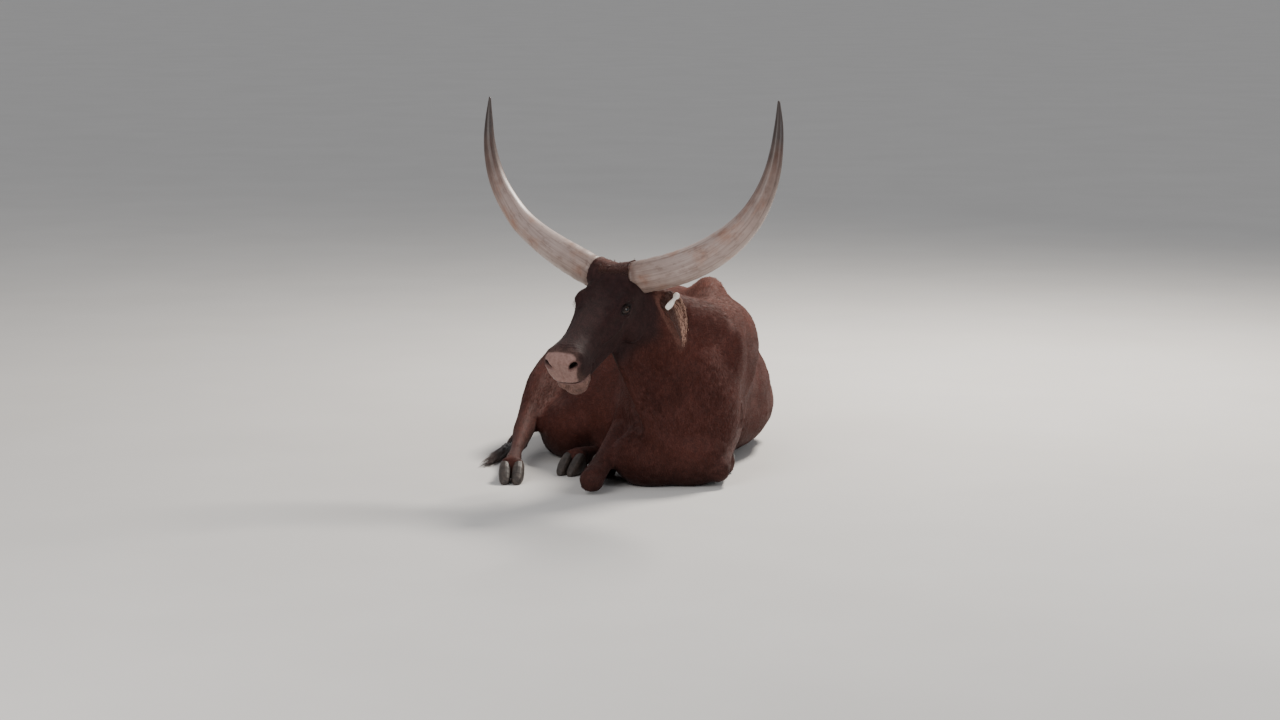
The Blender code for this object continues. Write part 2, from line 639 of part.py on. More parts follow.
EAR_POINTS = ((0.094, 0.016, -0.108), (0.178, -0.008, -0.140), (0.166, 0.046, -0.302))
EAR_WAY = (0.68, 0.56, 0.36)


def ear_point(side, along):
    """A point along the middle of an ear."""
    root, mid, tip = [HEAD @ Vector((-x * side, y, z)) for x, y, z in EAR_POINTS]
    return root * (1 - along) ** 2 + mid * (2 * along * (1 - along)) + tip * along ** 2


def ear(name, side):
    """A cupped ear that hangs out and back from under the horn."""
    rows = []
    for along, wide, deep in ((0.0, 0.020, 0.020), (0.12, 0.027, 0.024), (0.3, 0.041, 0.026),
                              (0.5, EAR_HALF_WIDTH, 0.024), (0.7, 0.041, 0.019), (0.87, 0.026, 0.012),
                              (1.0, 0.008, 0.005)):
        rows.append((*ear_point(side, along), wide, deep))
    way = (HEAD.to_3x3() @ Vector((-EAR_WAY[0] * side, EAR_WAY[1], EAR_WAY[2]))).normalized()
    shell = limb(name, rows, sides=14, steps=2, up=tuple(way), caps=1)
    hollow_rows = []
    for row in rows[2:]:
        p = Vector(row[:3]) + way * (0.62 * row[4])
        hollow_rows.append((*p, row[3] * 0.80, row[4] * 1.02))
    hollow_rows[-1] = (*hollow_rows[-1][:3], 0.004, 0.004)
    hollow = limb("hollow", hollow_rows, sides=12, steps=2, up=tuple(way), caps=1)
    boolean(shell, hollow, "DIFFERENCE")
    drop(hollow)
    return largest(shell)


def claw(name, foot, side):
    """One half of a cloven hoof, from the band at its top to the toe."""
    centre, toe, front = FEET[foot]
    y = Vector(toe).normalized()
    z = (Vector(front) - y * y.dot(Vector(front))).normalized()
    x = y.cross(z)
    frame = Matrix.Translation(Vector(centre)) @ Matrix((x, y, z)).transposed().to_4x4()
    rings = []
    stations = ((0.0, 0.0205, -0.043, 0.030), (0.018, 0.0222, -0.0458, 0.027),
                (0.042, 0.0230, -0.0464, 0.015), (0.064, 0.0214, -0.0464, -0.002),
                (0.082, 0.0174, -0.0464, -0.018), (0.094, 0.0100, -0.0455, -0.032))
    for along, wide, low, high in stations:
        middle, half = (low + high) / 2, (high - low) / 2
        centre_x = side * (0.0230 - 0.06 * max(0.0, along - 0.03))
        ring = []
        for a in np.linspace(0, 2 * math.pi, 12, endpoint=False):
            c, s = math.cos(a), math.sin(a)
            px = wide * power(c, 0.75)
            if c * side < 0:
                px *= 0.88
            pz = half * (power(s, 0.55) if s < 0 else power(s, 0.85))
            ring.append(frame @ Vector((centre_x + px, along, middle + pz)))
        rings.append(ring)
    return ring_solid(name, rings)


def lock(rng, start, way, length, wide, curl, sides=5, steps=5, up=(0, 0, 1)):
    """One flat, tapered lock of hair that bends as it goes."""
    way = Vector(way).normalized()
    side = way.cross(Vector(up)).normalized()
    rows = []
    point = Vector(start)
    for k in range(steps + 1):
        t = k / steps
        size = wide * (0.55 + 0.9 * t - 1.35 * t ** 2.2)
        size = max(size, wide * 0.06)
        rows.append((*point, size, size * 0.45))
        bend = side * (curl * math.sin(math.pi * (t + 0.15))) + Vector(up) * (rng.uniform(-0.03, 0.03))
        way = (way + bend * 0.45).normalized()
        point = point + way * (length / steps)
    return limb("lock", rows, sides=sides, steps=1, up=up, caps=1)


def bound(name, parts):
    """Fuses closed solids with one Boolean on their collection."""
    group = bpy.data.collections.new("group")
    first, rest = parts[0], parts[1:]
    for part in rest:
        group.objects.link(part)
    step = first.modifiers.new("union", "BOOLEAN")
    step.operation = "UNION"
    step.operand_type = "COLLECTION"
    step.collection = group
    step.solver = "MANIFOLD"
    settle(first)
    drop(*rest)
    bpy.data.collections.remove(group)
    first.name = name
    return largest(first)


def tail_switch():
    """The brush of long hair at the end of the tail, lying on the floor."""
    rng = random.Random(SEED)
    core = limb("tail_switch", [(*p, r, r * 0.8) for p, r in
                                zip(SWITCH, (0.0132, 0.018, 0.015, 0.004))], sides=8, steps=3, caps=1)
    parts = [core]
    path = [Vector(p) for p in SWITCH]
    for k in range(10):
        t = 0.15 + 1.75 * k / 9
        index = min(int(t), 2)
        start = path[index].lerp(path[index + 1], t - index)
        way = (path[min(index + 1, 3)] - path[index]).normalized()
        spread = Vector((rng.uniform(-0.14, 0.14), 0, rng.uniform(0.0, 0.05)))
        start = start + Vector((rng.uniform(-0.009, 0.009), 0, rng.uniform(-0.002, 0.004)))
        parts.append(lock(rng, start, way + spread, rng.uniform(0.13, 0.19), 0.010, rng.uniform(-0.25, 0.25),
                          sides=4, steps=4))
    return bound("tail_switch", parts)


def poll_tuft(head, horns):
    """Short curls of hair on the crown between the horns."""
    rng = random.Random(SEED + 1)
    parts = [blob("poll_tuft", (0.0, 0.018, -0.038), (0.048, 0.052, 0.025), None, HEAD, 2)]
    for k in range(15):
        across = -0.034 + 0.068 * (k % 5) / 4 + rng.uniform(-0.004, 0.004)
        along = (-0.010, 0.014, 0.036)[k // 5] + rng.uniform(-0.005, 0.005)
        start = HEAD @ Vector((across, along, -0.020))
        way = HEAD.to_3x3() @ Vector((across * 3 + rng.uniform(-0.25, 0.25), 0.8, 0.10 + rng.uniform(-0.05, 0.12)))
        parts.append(lock(rng, start, way, rng.uniform(0.034, 0.050), 0.0085, rng.uniform(-0.5, 0.5),
                          sides=4, steps=3, up=tuple(FACE_WAY)))
    tuft = bound("poll_tuft", parts)
    for host in (head, *horns):
        room = fatten(copied(host, "room"), GAP)
        boolean(tuft, room, "DIFFERENCE")
        drop(room)
    return largest(tuft)


def ear_tag():
    """A plain tag without marks: a round stud through the left ear's upper edge and a small drop under it."""
    way = (HEAD.to_3x3() @ Vector((-EAR_WAY[0], EAR_WAY[1], EAR_WAY[2]))).normalized()
    hole = ear_point(1, 0.34)
    out = (ear_point(1, 0.36) - ear_point(1, 0.32)).normalized()
    rise = way.cross(out)
    if rise.z < 0:
        rise = -rise
    middle = hole + rise * 0.026 + way * 0.012
    frame = Matrix.Translation(middle) @ Matrix((out, rise, way)).transposed().to_4x4()
    stud = blob("ear_tag", (0, 0.004, 0.004), (0.0125, 0.0125, 0.0055), None, frame, 2)
    drop_rows = [(*(frame @ Vector((0.000, 0.002, 0.004))), 0.0060, 0.0022),
                 (*(frame @ Vector((0.003, -0.014, 0.006))), 0.0075, 0.0024),
                 (*(frame @ Vector((0.005, -0.034, 0.008))), 0.0120, 0.0024),
                 (*(frame @ Vector((0.006, -0.052, 0.008))), 0.0090, 0.0022)]
    return bound("ear_tag", [stud, limb("drop", drop_rows, sides=8, steps=2, up=tuple(way), caps=1)])


def material(name, colour, rough, metal=0.0):
    mat = bpy.data.materials.new(name)
    mat.use_nodes = True
    shader = mat.node_tree.nodes["Principled BSDF"]
    shader.inputs["Base Color"].default_value = (*colour, 1.0)
    shader.inputs["Roughness"].default_value = rough
    shader.inputs["Metallic"].default_value = metal
    mat.diffuse_color = (*colour, 1.0)
    return mat


def finish(obj, name, colour, rough):
    """Names a part and gives it a material of its own."""
    tidy(obj)
    obj.name = name
    obj.data.name = name
    obj.data.shade_smooth()
    obj.data.set_sharp_from_angle(angle=CREASE)
    obj.data.materials.clear()
    obj.data.materials.append(material(name, colour, rough))
    return obj


COAT = (0.115, 0.045, 0.034)
FACE = (0.070, 0.030, 0.028)
HORN_COLOUR = (0.56, 0.47, 0.40)
HOOF_COLOUR = (0.050, 0.038, 0.034)


def build():
    clear_scene()
    # Flesh of the whole animal, fused twice: coarse for the body, fine for the head.
    barrel = barrel_mass()
    twin = copied(barrel, "barrel_twin")
    body = fuse("body", [barrel, skull_solid()] + leg_parts() + face_parts(), BODY_VOXEL, 5)
    head = fuse("head", [twin, skull_solid()] + face_parts(), HEAD_VOXEL, 5)
    thin(body, BODY_FACES)

    # Head and neck part behind the horns and jaw, and under the jaw.
    profile = [(-0.250, 0.300), (0.045, -0.222), (0.640, -0.222), (0.640, 0.300)]
    cutter = prism("cutter", profile, 0.30, HEAD)
    boolean(head, cutter, "INTERSECT", ("MANIFOLD", "EXACT"))
    drop(cutter)
    largest(head)
    thin(head, HEAD_FACES)
    wider = [(y - GAP * 1.3, z - (GAP if z < 0 else 0)) for y, z in profile]
    cutter = prism("cutter", wider, 0.30, HEAD)
    boolean(body, cutter, "DIFFERENCE")
    drop(cutter)
    largest(body)

    # The floor.
    floor = box_object("cutter", Matrix.Translation(Vector((0, 0.4, -0.5))), (2, 2, 0.5))
    boolean(body, floor, "DIFFERENCE")
    drop(floor)

    # Hard parts seated in the head.
    nodes = {}
    mouth_and_nostrils(head)
    for side in (-1, 1):
        lids(head, side)
    horns = {"horn_R": horn("horn_R", HORN_R, -1), "horn_L": horn("horn_L", HORN_L, 1)}
    ears = {"ear_R": ear("ear_R", -1), "ear_L": ear("ear_L", 1)}
    eyes = {}
    for name, side in (("eye_R", 1), ("eye_L", -1)):
        eyes[name] = blob(name, tuple(eye_frame(side)[0]), (EYE_RADIUS,) * 3, None, HEAD, 2)
    for guest in (*horns.values(), *ears.values(), *eyes.values()):
        seat(head, guest)
    largest(head)
    for guest in ears.values():
        seat(body, guest)
    tag = ear_tag()
    seat(ears["ear_L"], tag)
    largest(ears["ear_L"])
    nodes["ear_tag"] = (tag, (0.80, 0.76, 0.70), 0.5)
    nodes["poll_tuft"] = (poll_tuft(head, horns.values()), COAT, 0.9)
    nodes["head"] = (head, FACE, 0.85)
    for name, obj in horns.items():
        nodes[name] = (obj, HORN_COLOUR, 0.45)
    for name, obj in ears.items():
        nodes[name] = (obj, COAT, 0.9)
    for name, obj in eyes.items():
        nodes[name] = (obj, (0.02, 0.012, 0.01), 0.1)

    # Hooves, four feet of two claws each.
    for foot in FEET:
        for part, side in (("in", -1), ("out", 1)):
            nodes[f"claw_{foot}_{part}"] = (claw(f"claw_{foot}_{part}", foot, side), HOOF_COLOUR, 0.5)
            seat(body, nodes[f"claw_{foot}_{part}"][0])

    tail = limb("tail", [(*r[:3], r[3], r[3]) for r in TAIL], sides=8, steps=2)
    seat(body, tail)
    nodes["tail"] = (tail, COAT, 0.9)
    switch = tail_switch()
    room = fatten(copied(tail, "room"), GAP)
    boolean(switch, room, "DIFFERENCE")
    drop(room)
    nodes["tail_switch"] = (largest(switch), (0.06, 0.03, 0.025), 0.9)

    # The body parted into torso, neck and legs.
    for name, middle, way, half in CUTS:
        piece = carve(body, name, looking(middle, way), half)
        nodes[name] = (largest(piece), COAT, 0.9)
    way = Vector(NECK_CUT[1]).normalized()
    piece = carve(body, "neck", looking(Vector(NECK_CUT[0]) + way * 0.5, way), (0.45, 0.50, 0.55))
    nodes["neck"] = (largest(piece), COAT, 0.9)
    nodes["torso"] = (largest(body), COAT, 0.9)
    for name, (obj, colour, rough) in nodes.items():
        finish(obj, name, colour, rough)
    for helper in [o for o in bpy.data.objects if o.name not in nodes]:
        drop(helper)


build()
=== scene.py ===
# %% [markdown]
# # A lying long-horned cow
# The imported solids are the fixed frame: they say where every part of the cow is. This file gives the
# cow its looks: one skin over all the flesh, a short coat of tufts, long hair, horns, eyes and hooves.
# Everything is in metres. The cow faces -Y, +X is its left side and the floor is at z = 0.

# %% Load the frame
import math
import time

import bmesh
import bpy
import numpy as np
from mathutils import Matrix, Vector
from mathutils.bvhtree import BVHTree
from mathutils.kdtree import KDTree


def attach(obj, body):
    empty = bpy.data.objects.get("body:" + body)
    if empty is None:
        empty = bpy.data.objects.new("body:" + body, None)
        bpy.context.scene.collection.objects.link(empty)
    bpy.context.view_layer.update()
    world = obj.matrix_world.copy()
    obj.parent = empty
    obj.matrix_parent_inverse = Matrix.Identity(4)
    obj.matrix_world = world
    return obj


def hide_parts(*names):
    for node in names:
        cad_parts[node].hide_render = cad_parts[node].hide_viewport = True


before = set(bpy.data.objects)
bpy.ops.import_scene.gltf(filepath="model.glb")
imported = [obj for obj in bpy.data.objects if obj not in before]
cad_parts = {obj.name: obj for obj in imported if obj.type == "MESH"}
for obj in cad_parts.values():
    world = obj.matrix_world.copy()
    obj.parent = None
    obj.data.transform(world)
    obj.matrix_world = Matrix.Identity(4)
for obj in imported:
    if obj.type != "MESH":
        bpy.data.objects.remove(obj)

START = time.time()
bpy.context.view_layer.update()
scene = bpy.context.scene
rng = np.random.default_rng(11)

# %% [markdown]
# ## The camera
# The photograph was taken from about eleven metres away with a long lens, from a little above the
# cow's horns. A long lens keeps the muzzle and the rump at nearly the same scale. The camera could be
# aimed with a constraint; plain numbers are kept here, because they were matched to the photograph.

# %% Make the camera
LENS = 90.0
SENSOR_WIDTH = 36.0
FOCAL_PIXELS = 3200
HORIZON_RISE = 460
CAMERA_PLACE = (-0.124, -11.35, 2.042)
CAMERA_DIP = math.atan(HORIZON_RISE / FOCAL_PIXELS)
camera_data = bpy.data.cameras.new("camera")
camera_data.lens = LENS
camera_data.sensor_width = SENSOR_WIDTH
camera = bpy.data.objects.new("camera", camera_data)
camera.location = CAMERA_PLACE
camera.rotation_euler = (math.pi / 2 - CAMERA_DIP, 0.0, 0.0)
scene.collection.objects.link(camera)
scene.camera = camera
print("camera looks down by", round(math.degrees(CAMERA_DIP), 1), "degrees")

# %% [markdown]
# ## The head's own frame
# The head is turned to the cow's right and hangs a little. Lids, lips and nostrils are much easier to
# place in a frame that turns with it: x to the cow's right, y from the poll to the nose, z out of the
# face. One matrix leads from that frame to the world, and its inverse leads back. What lies deep under
# the face in that frame isn't head any more but chest or leg, so two limits keep it out.

# %% Head frame
HEAD_UNDER, MUZZLE_UNDER = -0.26, -0.24
HEAD_SCALE = 1.04
POLL = Vector((-0.184, -0.24, 0.786))
NOSE_WAY = Vector((-0.43, -0.73, -0.53)).normalized()
FACE_WAY = NOSE_WAY.cross(Vector((0.866, -0.50, 0.0))).normalized()
RIGHT_WAY = -(FACE_WAY.cross(NOSE_WAY)).normalized()
TURN = Matrix((RIGHT_WAY, NOSE_WAY, FACE_WAY)).transposed().to_4x4()
HEAD = Matrix.Translation(POLL) @ TURN @ Matrix.Scale(HEAD_SCALE, 4)
HEAD_MATRIX = np.array(HEAD)
HEAD_INVERSE = np.array(HEAD.inverted())
EYE_RADIUS = 0.0210


def to_head(points):
    """World points in the head's frame."""
    return points @ HEAD_INVERSE[:3, :3].T + HEAD_INVERSE[:3, 3]


def from_head(points):
    """Points of the head's frame in the world."""
    return points @ HEAD_MATRIX[:3, :3].T + HEAD_MATRIX[:3, 3]


def smooth_step(low, high, value):
    """0 below low, 1 above high and a soft slope between."""
    t = np.clip((value - low) / (high - low), 0.0, 1.0)
    return t * t * (3 - 2 * t)


def unit(rows):
    """Rows of vectors, each made 1 long."""
    return rows / np.maximum(np.linalg.norm(rows, axis=-1, keepdims=True), 1e-9)


def bell(value, middle, width):
    """1 at the middle and a soft fall on both sides of it."""
    return np.exp(-((value - middle) / width) ** 2)


def apart_from(points, place):
    """How far each point is from one place."""
    return np.linalg.norm(points - place, axis=1)


def wave_noise(points, scale, seed):
    """A cheap smooth noise between -1 and 1 from a few turned sines."""
    draw = np.random.default_rng(seed)
    total = np.zeros(len(points))
    for _ in range(5):
        way = unit(draw.normal(size=3)) * scale * draw.uniform(0.6, 1.5)
        total += np.sin(points @ way + draw.uniform(0, 6.28))
    return total / 5


print("nose points to", [round(v, 2) for v in NOSE_WAY])

# %% [markdown]
# ## From solids to one skin
# The flesh is packed as torso, neck, head, legs, ears and tail, with hair-thin gaps between them. A
# living cow has no such seams. The copies are merged and grown by about a millimetre, so that the gaps
# and the cut of the mouth close. Two soft swellings over each foot stand for the hair that covers the
# top of the claws. Then one voxel surface is laid over everything. Growing and then shrinking leaves
# the size as it was. The flat parts need few triangles, so they are thinned after it.

# %% Helpers for meshes
FLESH = ["torso", "neck", "head", "leg_fore_L", "leg_fore_R", "leg_hind_L", "leg_hind_R",
         "foot_hind_L", "foot_hind_R", "ear_L", "ear_R", "tail"]
GROW = 0.0012
SKIN_VOXEL = 0.0033


def linked(name, mesh):
    """A new object in the scene that holds a mesh."""
    obj = bpy.data.objects.new(name, mesh)
    scene.collection.objects.link(obj)
    return obj


def shape_with(obj, kind, **settings):
    """Adds a modifier with its settings."""
    modifier = obj.modifiers.new(kind.lower(), kind)
    for setting, value in settings.items():
        setattr(modifier, setting, value)


def settle(obj):
    """Applies the modifiers of an object."""
    bpy.context.view_layer.update()
    graph = bpy.context.evaluated_depsgraph_get()
    mesh = bpy.data.meshes.new_from_object(obj.evaluated_get(graph))
    obj.modifiers.clear()
    obj.data = mesh


def mesh_of(name, bm):
    """A new mesh with what a bmesh holds."""
    mesh = bpy.data.meshes.new(name)
    bm.to_mesh(mesh)
    bm.free()
    return mesh


def merged_copy(name, nodes, grow):
    """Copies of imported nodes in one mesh, welded and grown along their normals."""
    bm = bmesh.new()
    for node in nodes:
        bm.from_mesh(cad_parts[node].data)
    bmesh.ops.remove_doubles(bm, verts=bm.verts[:], dist=1e-6)
    bm.normal_update()
    for v in bm.verts:
        v.co += v.normal * grow
    mesh = mesh_of(name, bm)
    mesh.materials.clear()
    return linked(name, mesh)


def read_points(mesh):
    points = np.empty(len(mesh.vertices) * 3)
    mesh.vertices.foreach_get("co", points)
    return points.reshape(-1, 3)


def read_normals(mesh):
    normals = np.empty(len(mesh.vertices) * 3)
    mesh.vertex_normals.foreach_get("vector", normals)
    return normals.reshape(-1, 3)


def write_points(mesh, points):
    mesh.vertices.foreach_set("co", points.ravel())
    mesh.update()


def state_of(obj):
    """Points and normals of an object, and its points in the head's frame."""
    points = read_points(obj.data)
    return points, read_normals(obj.data), to_head(points)


def store_value(mesh, name, values, kind="FLOAT"):
    """Keeps a number, or a vector, for each point of a mesh."""
    layer = mesh.attributes.new(name=name, type=kind, domain="POINT")
    layer.data.foreach_set("value" if kind == "FLOAT" else "vector", values.astype(np.float32).ravel())


def shade_smooth(mesh):
    mesh.polygons.foreach_set("use_smooth", np.ones(len(mesh.polygons), bool))


def triangles(obj):
    return sum(len(p.vertices) - 2 for p in obj.data.polygons)


def seconds():
    return f"{time.time() - START:.1f} s"


print("flesh nodes:", len(FLESH))

# %% Hair bands over the hooves
FEET = {
    "fore_R": ((-0.254, -0.112, 0.033), (0.10, 0.995, 0.0), (0.0, 0.0, -1.0)),
    "fore_L": ((0.172, 0.000, 0.033), (0.02, 1.0, 0.0), (0.0, 0.0, -1.0)),
    "hind_R": ((-0.5785, -0.156, 0.0465), (-0.03, -1.0, 0.0), (0.0, 0.0, 1.0)),
    "hind_L": ((-0.356, 0.008, 0.0465), (-0.42, -0.91, 0.0), (0.0, 0.0, 1.0)),
}
BAND_SIDE = 0.0205
BAND_SIZE = (0.0300, 0.0340, 0.0470, 1.0)


def foot_frame(foot):
    """The frame of a foot: y to the toe, z to the front of the hoof."""
    centre, toe, front = [Vector(v) for v in FEET[foot]]
    toe.normalize()
    front = (front - toe * toe.dot(front)).normalized()
    return Matrix.Translation(centre) @ Matrix((toe.cross(front), toe, front)).transposed().to_4x4()


def add_bands(obj):
    """Two soft swellings on each foot, where the hair covers the top of the claws."""
    bm = bmesh.new()
    bm.from_mesh(obj.data)
    for foot in FEET:
        for side in (-1, 1):
            middle = Matrix.Translation((BAND_SIDE * side, -0.003, -0.005))
            matrix = foot_frame(foot) @ middle @ Matrix.Diagonal(BAND_SIZE)
            bmesh.ops.create_icosphere(bm, subdivisions=3, radius=1.0, matrix=matrix)
    bm.to_mesh(obj.data)
    bm.free()


skin = merged_copy("skin", FLESH, GROW)
add_bands(skin)
print("merged:", triangles(skin), "triangles", seconds())

# %% One surface over all the flesh
shape_with(skin, "REMESH", mode="VOXEL", voxel_size=SKIN_VOXEL)
settle(skin)
print("skin surface:", len(skin.data.polygons), "faces", seconds())

# %% [markdown]
# ## Smooth flesh, sharp face
# Voxels leave steps, and smoothing takes them away, but it also rounds what should stay crisp. Each
# point is smoothed by how far it is from the face: the broad body gets many rounds and the head few.

# %% Smooth by region
HEAD_ROUNDS, BODY_ROUNDS = 4, 30
WEIGHT_STEPS = 4
local = to_head(read_points(skin.data))
on_head = smooth_step(-0.10, -0.02, local[:, 1]) * smooth_step(HEAD_UNDER, -0.21, local[:, 2])
on_head = on_head * smooth_step(0.27, 0.22, np.abs(local[:, 0]))
group = skin.vertex_groups.new(name="body")
steps = np.round((1 - on_head) * WEIGHT_STEPS).astype(int)
for step in range(1, WEIGHT_STEPS + 1):
    group.add(np.nonzero(steps == step)[0].tolist(), step / WEIGHT_STEPS, "REPLACE")
shape_with(skin, "SMOOTH", factor=0.5, iterations=HEAD_ROUNDS)
shape_with(skin, "SMOOTH", factor=0.5, iterations=BODY_ROUNDS, vertex_group="body")
settle(skin)
print("smoothed", seconds())

# %% Thin out the broad body
SKIN_TRIANGLES = 150000
skin.data.update()
share = SKIN_TRIANGLES / (2 * len(skin.data.polygons))
shape_with(skin, "DECIMATE", ratio=share, vertex_group="body", vertex_group_factor=4.0, use_collapse_triangulate=True)
settle(skin)
skin.vertex_groups.clear()
print("skin:", triangles(skin), "triangles", seconds())

# %% [markdown]
# ## An unwrap for baked colours
# The skin gets a flat map of its own shape, so that its coat can be baked to a picture. The smart unwrap cuts it into
# charts by the way that the faces look. Every tuft will later borrow the place on the map where its root stands.

# %% Unwrap the skin
skin.data.uv_layers.new(name="OFBake")
bpy.context.view_layer.objects.active = skin
for other in bpy.context.selected_objects:
    other.select_set(False)
skin.select_set(True)
bpy.ops.object.mode_set(mode="EDIT")
bpy.ops.mesh.select_all(action="SELECT")
bpy.ops.uv.smart_project(angle_limit=math.radians(70), island_margin=0.001)
bpy.ops.object.mode_set(mode="OBJECT")
print("unwrapped", seconds())

# %% [markdown]
# ## Finer faces where the face needs them
# Lids and lips are a millimetre or two across, so the faces there are split once more. Each eye is
# kept as its centre and three ways: out of the head, along the slit of the lids and across it.

# %% Split the faces round the eyes, nostrils and mouth
MOUTH_LINE = ((0.372, -0.124), (0.408, -0.119), (0.446, -0.116), (0.480, -0.114), (0.510, -0.113))
NOSTRIL = np.array((0.0460, 0.490, -0.0400))
NOSTRIL_ALONG = unit(np.array((0.70, -0.50, 0.42)))
EYE_REACH, NOSTRIL_REACH, LIP_REACH = 0.038, 0.030, 0.007
EYES = {}
for side, name in ((1, "R"), (-1, "L")):
    out = Vector((0.94 * side, 0.10, 0.30)).normalized()
    along = Vector((0.0, 1.0, 0.12))
    along = (along - out * out.dot(along)).normalized()
    across = along.cross(out) * side
    across = across if across.z > 0 else -across
    EYES[name] = [np.array(v) for v in (Vector((0.0815 * side, 0.186, -0.047)), out, along, across)]


def split_faces(obj, wanted):
    """Splits every edge of the faces whose middle is wanted."""
    bm = bmesh.new()
    bm.from_mesh(obj.data)
    middles = np.array([f.calc_center_median() for f in bm.faces])
    chosen = wanted(to_head(middles))
    edges = {e for f, yes in zip(bm.faces, chosen) if yes for e in f.edges}
    bmesh.ops.subdivide_edges(bm, edges=list(edges), cuts=1, use_grid_fill=True)
    bmesh.ops.triangulate(bm, faces=[f for f in bm.faces if len(f.verts) > 3])
    bm.to_mesh(obj.data)
    bm.free()


def near_eye(points, reach):
    return np.any([apart_from(points, eye[0]) < reach for eye in EYES.values()], axis=0)


def near_nostril(points, reach):
    return np.any([apart_from(points, NOSTRIL * (side, 1, 1)) < reach for side in (-1, 1)], axis=0)


def on_muzzle(points):
    return (points[:, 1] > 0.355) & (points[:, 2] > MUZZLE_UNDER)


def near_lips(points):
    """Close to the line of the mouth or to a nostril."""
    level = np.interp(points[:, 1], *zip(*MOUTH_LINE))
    mouth = (points[:, 1] > 0.370) & (np.abs(points[:, 2] - level) < LIP_REACH)
    return (mouth | near_nostril(points, NOSTRIL_REACH)) & on_muzzle(points)


split_faces(skin, lambda p: near_eye(p, EYE_REACH) | near_lips(p))
print("skin:", triangles(skin), "triangles", seconds())

# %% [markdown]
# ## Back to size
# The skin lies inside the solids by the depth of the coat, so that the tufts end where the solids end:
# a few millimetres on the body, one or two on the face.

# %% Shrink the skin by the coat's depth
BODY_DEPTH, FACE_DEPTH = 0.0040, 0.0014
points, normals, local = state_of(skin)
face_part = smooth_step(0.02, 0.10, local[:, 1]) * smooth_step(-0.25, -0.20, local[:, 2])
coat_depth = BODY_DEPTH - (BODY_DEPTH - FACE_DEPTH) * face_part
points -= normals * (GROW + coat_depth)[:, None]
write_points(skin.data, points)
print("coat depth from", round(coat_depth.min() * 1000, 1), "to", round(coat_depth.max() * 1000, 1), "mm")

# %% [markdown]
# ## Lids
# A cow's eye is a large dark ball, set in the side of the skull behind two thick lids that meet in
# points. The skin inside the slit is pushed in behind the ball, and the skin round it is laid over the
# ball as a rolled rim with a crease above. That is how a sculptor's clay eye is made too.

# %% Shape the lids
SLIT_HALF = 0.0215
SLIT_RISE = 0.0118
SLIT_FALL = 0.0092
SLIT_POWER = 1.7


def slit_measure(a, b):
    """1 on the edge of the slit, less inside it and more outside."""
    half = np.where(b > 0, SLIT_RISE, SLIT_FALL)
    return ((np.abs(a) / SLIT_HALF) ** SLIT_POWER + (np.abs(b) / half) ** SLIT_POWER) ** (1 / SLIT_POWER)


def eye_place(local, eye):
    """Points in the frame of an eye: along the slit, across it and out of the head."""
    centre, out, along, across = eye
    offset = local - centre
    return offset @ along, offset @ across, offset @ out


def shape_lids(local, eye):
    a, b, h = eye_place(local, eye)
    s = slit_measure(a, b)
    ball = np.sqrt(np.maximum(EYE_RADIUS ** 2 - a * a - b * b, (0.45 * EYE_RADIUS) ** 2))
    rim = ball + 0.0018 + 0.0022 * bell(s, 1.28, 0.20)
    crease = 0.0020 * bell(s, 1.78, 0.10) * smooth_step(-0.001, 0.004, b)
    pouch = 0.0010 * bell(s, 1.95, 0.12) * smooth_step(0.001, -0.004, b)
    brow = 0.0010 * np.sin((s - 2.1) * 9.0) * bell(s, 2.5, 0.45) * smooth_step(0.0, 0.006, b)
    target = np.where(s < 1.0, ball - 0.0060, rim)
    weight = smooth_step(2.5, 1.45, s) * (h > -0.012)
    near = (s < 3.6) & (h > -0.012)
    fresh = h * (1 - weight) + target * weight - (crease + pouch - brow) * near
    return local + eye[1] * ((fresh - h) * near)[:, None]


local = to_head(read_points(skin.data))
near = near_eye(local, 0.07)
shaped = local[near]
for eye in EYES.values():
    shaped = shape_lids(shaped, eye)
local[near] = shaped
write_points(skin.data, from_head(local))
print("lids shaped from", int(near.sum()), "points")

# %% [markdown]
# ## Mouth, nostrils and nose
# The line of the mouth is a groove with a full lip on each side. A nostril is a comma: round at the
# front and drawn out to the back, with a raised wing. Both could be cut with Booleans, but a groove
# that is pressed in keeps the skin in one piece. The muzzle is smoothed first, so that it starts clean.

# %% Press in the mouth and the nostrils
FAR = 9.0


def path_distance(points, path):
    """How far each point is from a line of straight pieces."""
    path = np.array(path)
    best = np.full(len(points), 1e9)
    for start, end in zip(path, path[1:]):
        way = end - start
        t = np.clip((points - start) @ way / (way @ way), 0, 1)
        best = np.minimum(best, np.linalg.norm(points - (start + t[:, None] * way), axis=1))
    return best


def mouth_distance(local):
    """How far each point of the muzzle is from the line of the mouth."""
    level = np.interp(local[:, 1], *zip(*MOUTH_LINE))
    past = np.maximum(0.380 - local[:, 1], 0)
    return np.where(local[:, 2] > MUZZLE_UNDER, np.hypot(local[:, 2] - level, past), 1.0)


def nostril_measure(local, side):
    """1 on the edge of a nostril, less inside it and more outside, and far off it a large number."""
    offset = local - NOSTRIL * (side, 1, 1)
    along = NOSTRIL_ALONG * (side, 1, 1)
    out = unit(np.array((0.45 * side, 0.85, 0.28)))
    across = np.cross(along, out)
    u, v = offset @ along, offset @ across * side
    v = v + 10.0 * u * u - 0.001
    s = np.sqrt((u / 0.0185) ** 2 + (v / (0.0098 + 0.16 * u)) ** 2)
    return np.where(np.linalg.norm(offset, axis=1) < 0.045, s, FAR), out


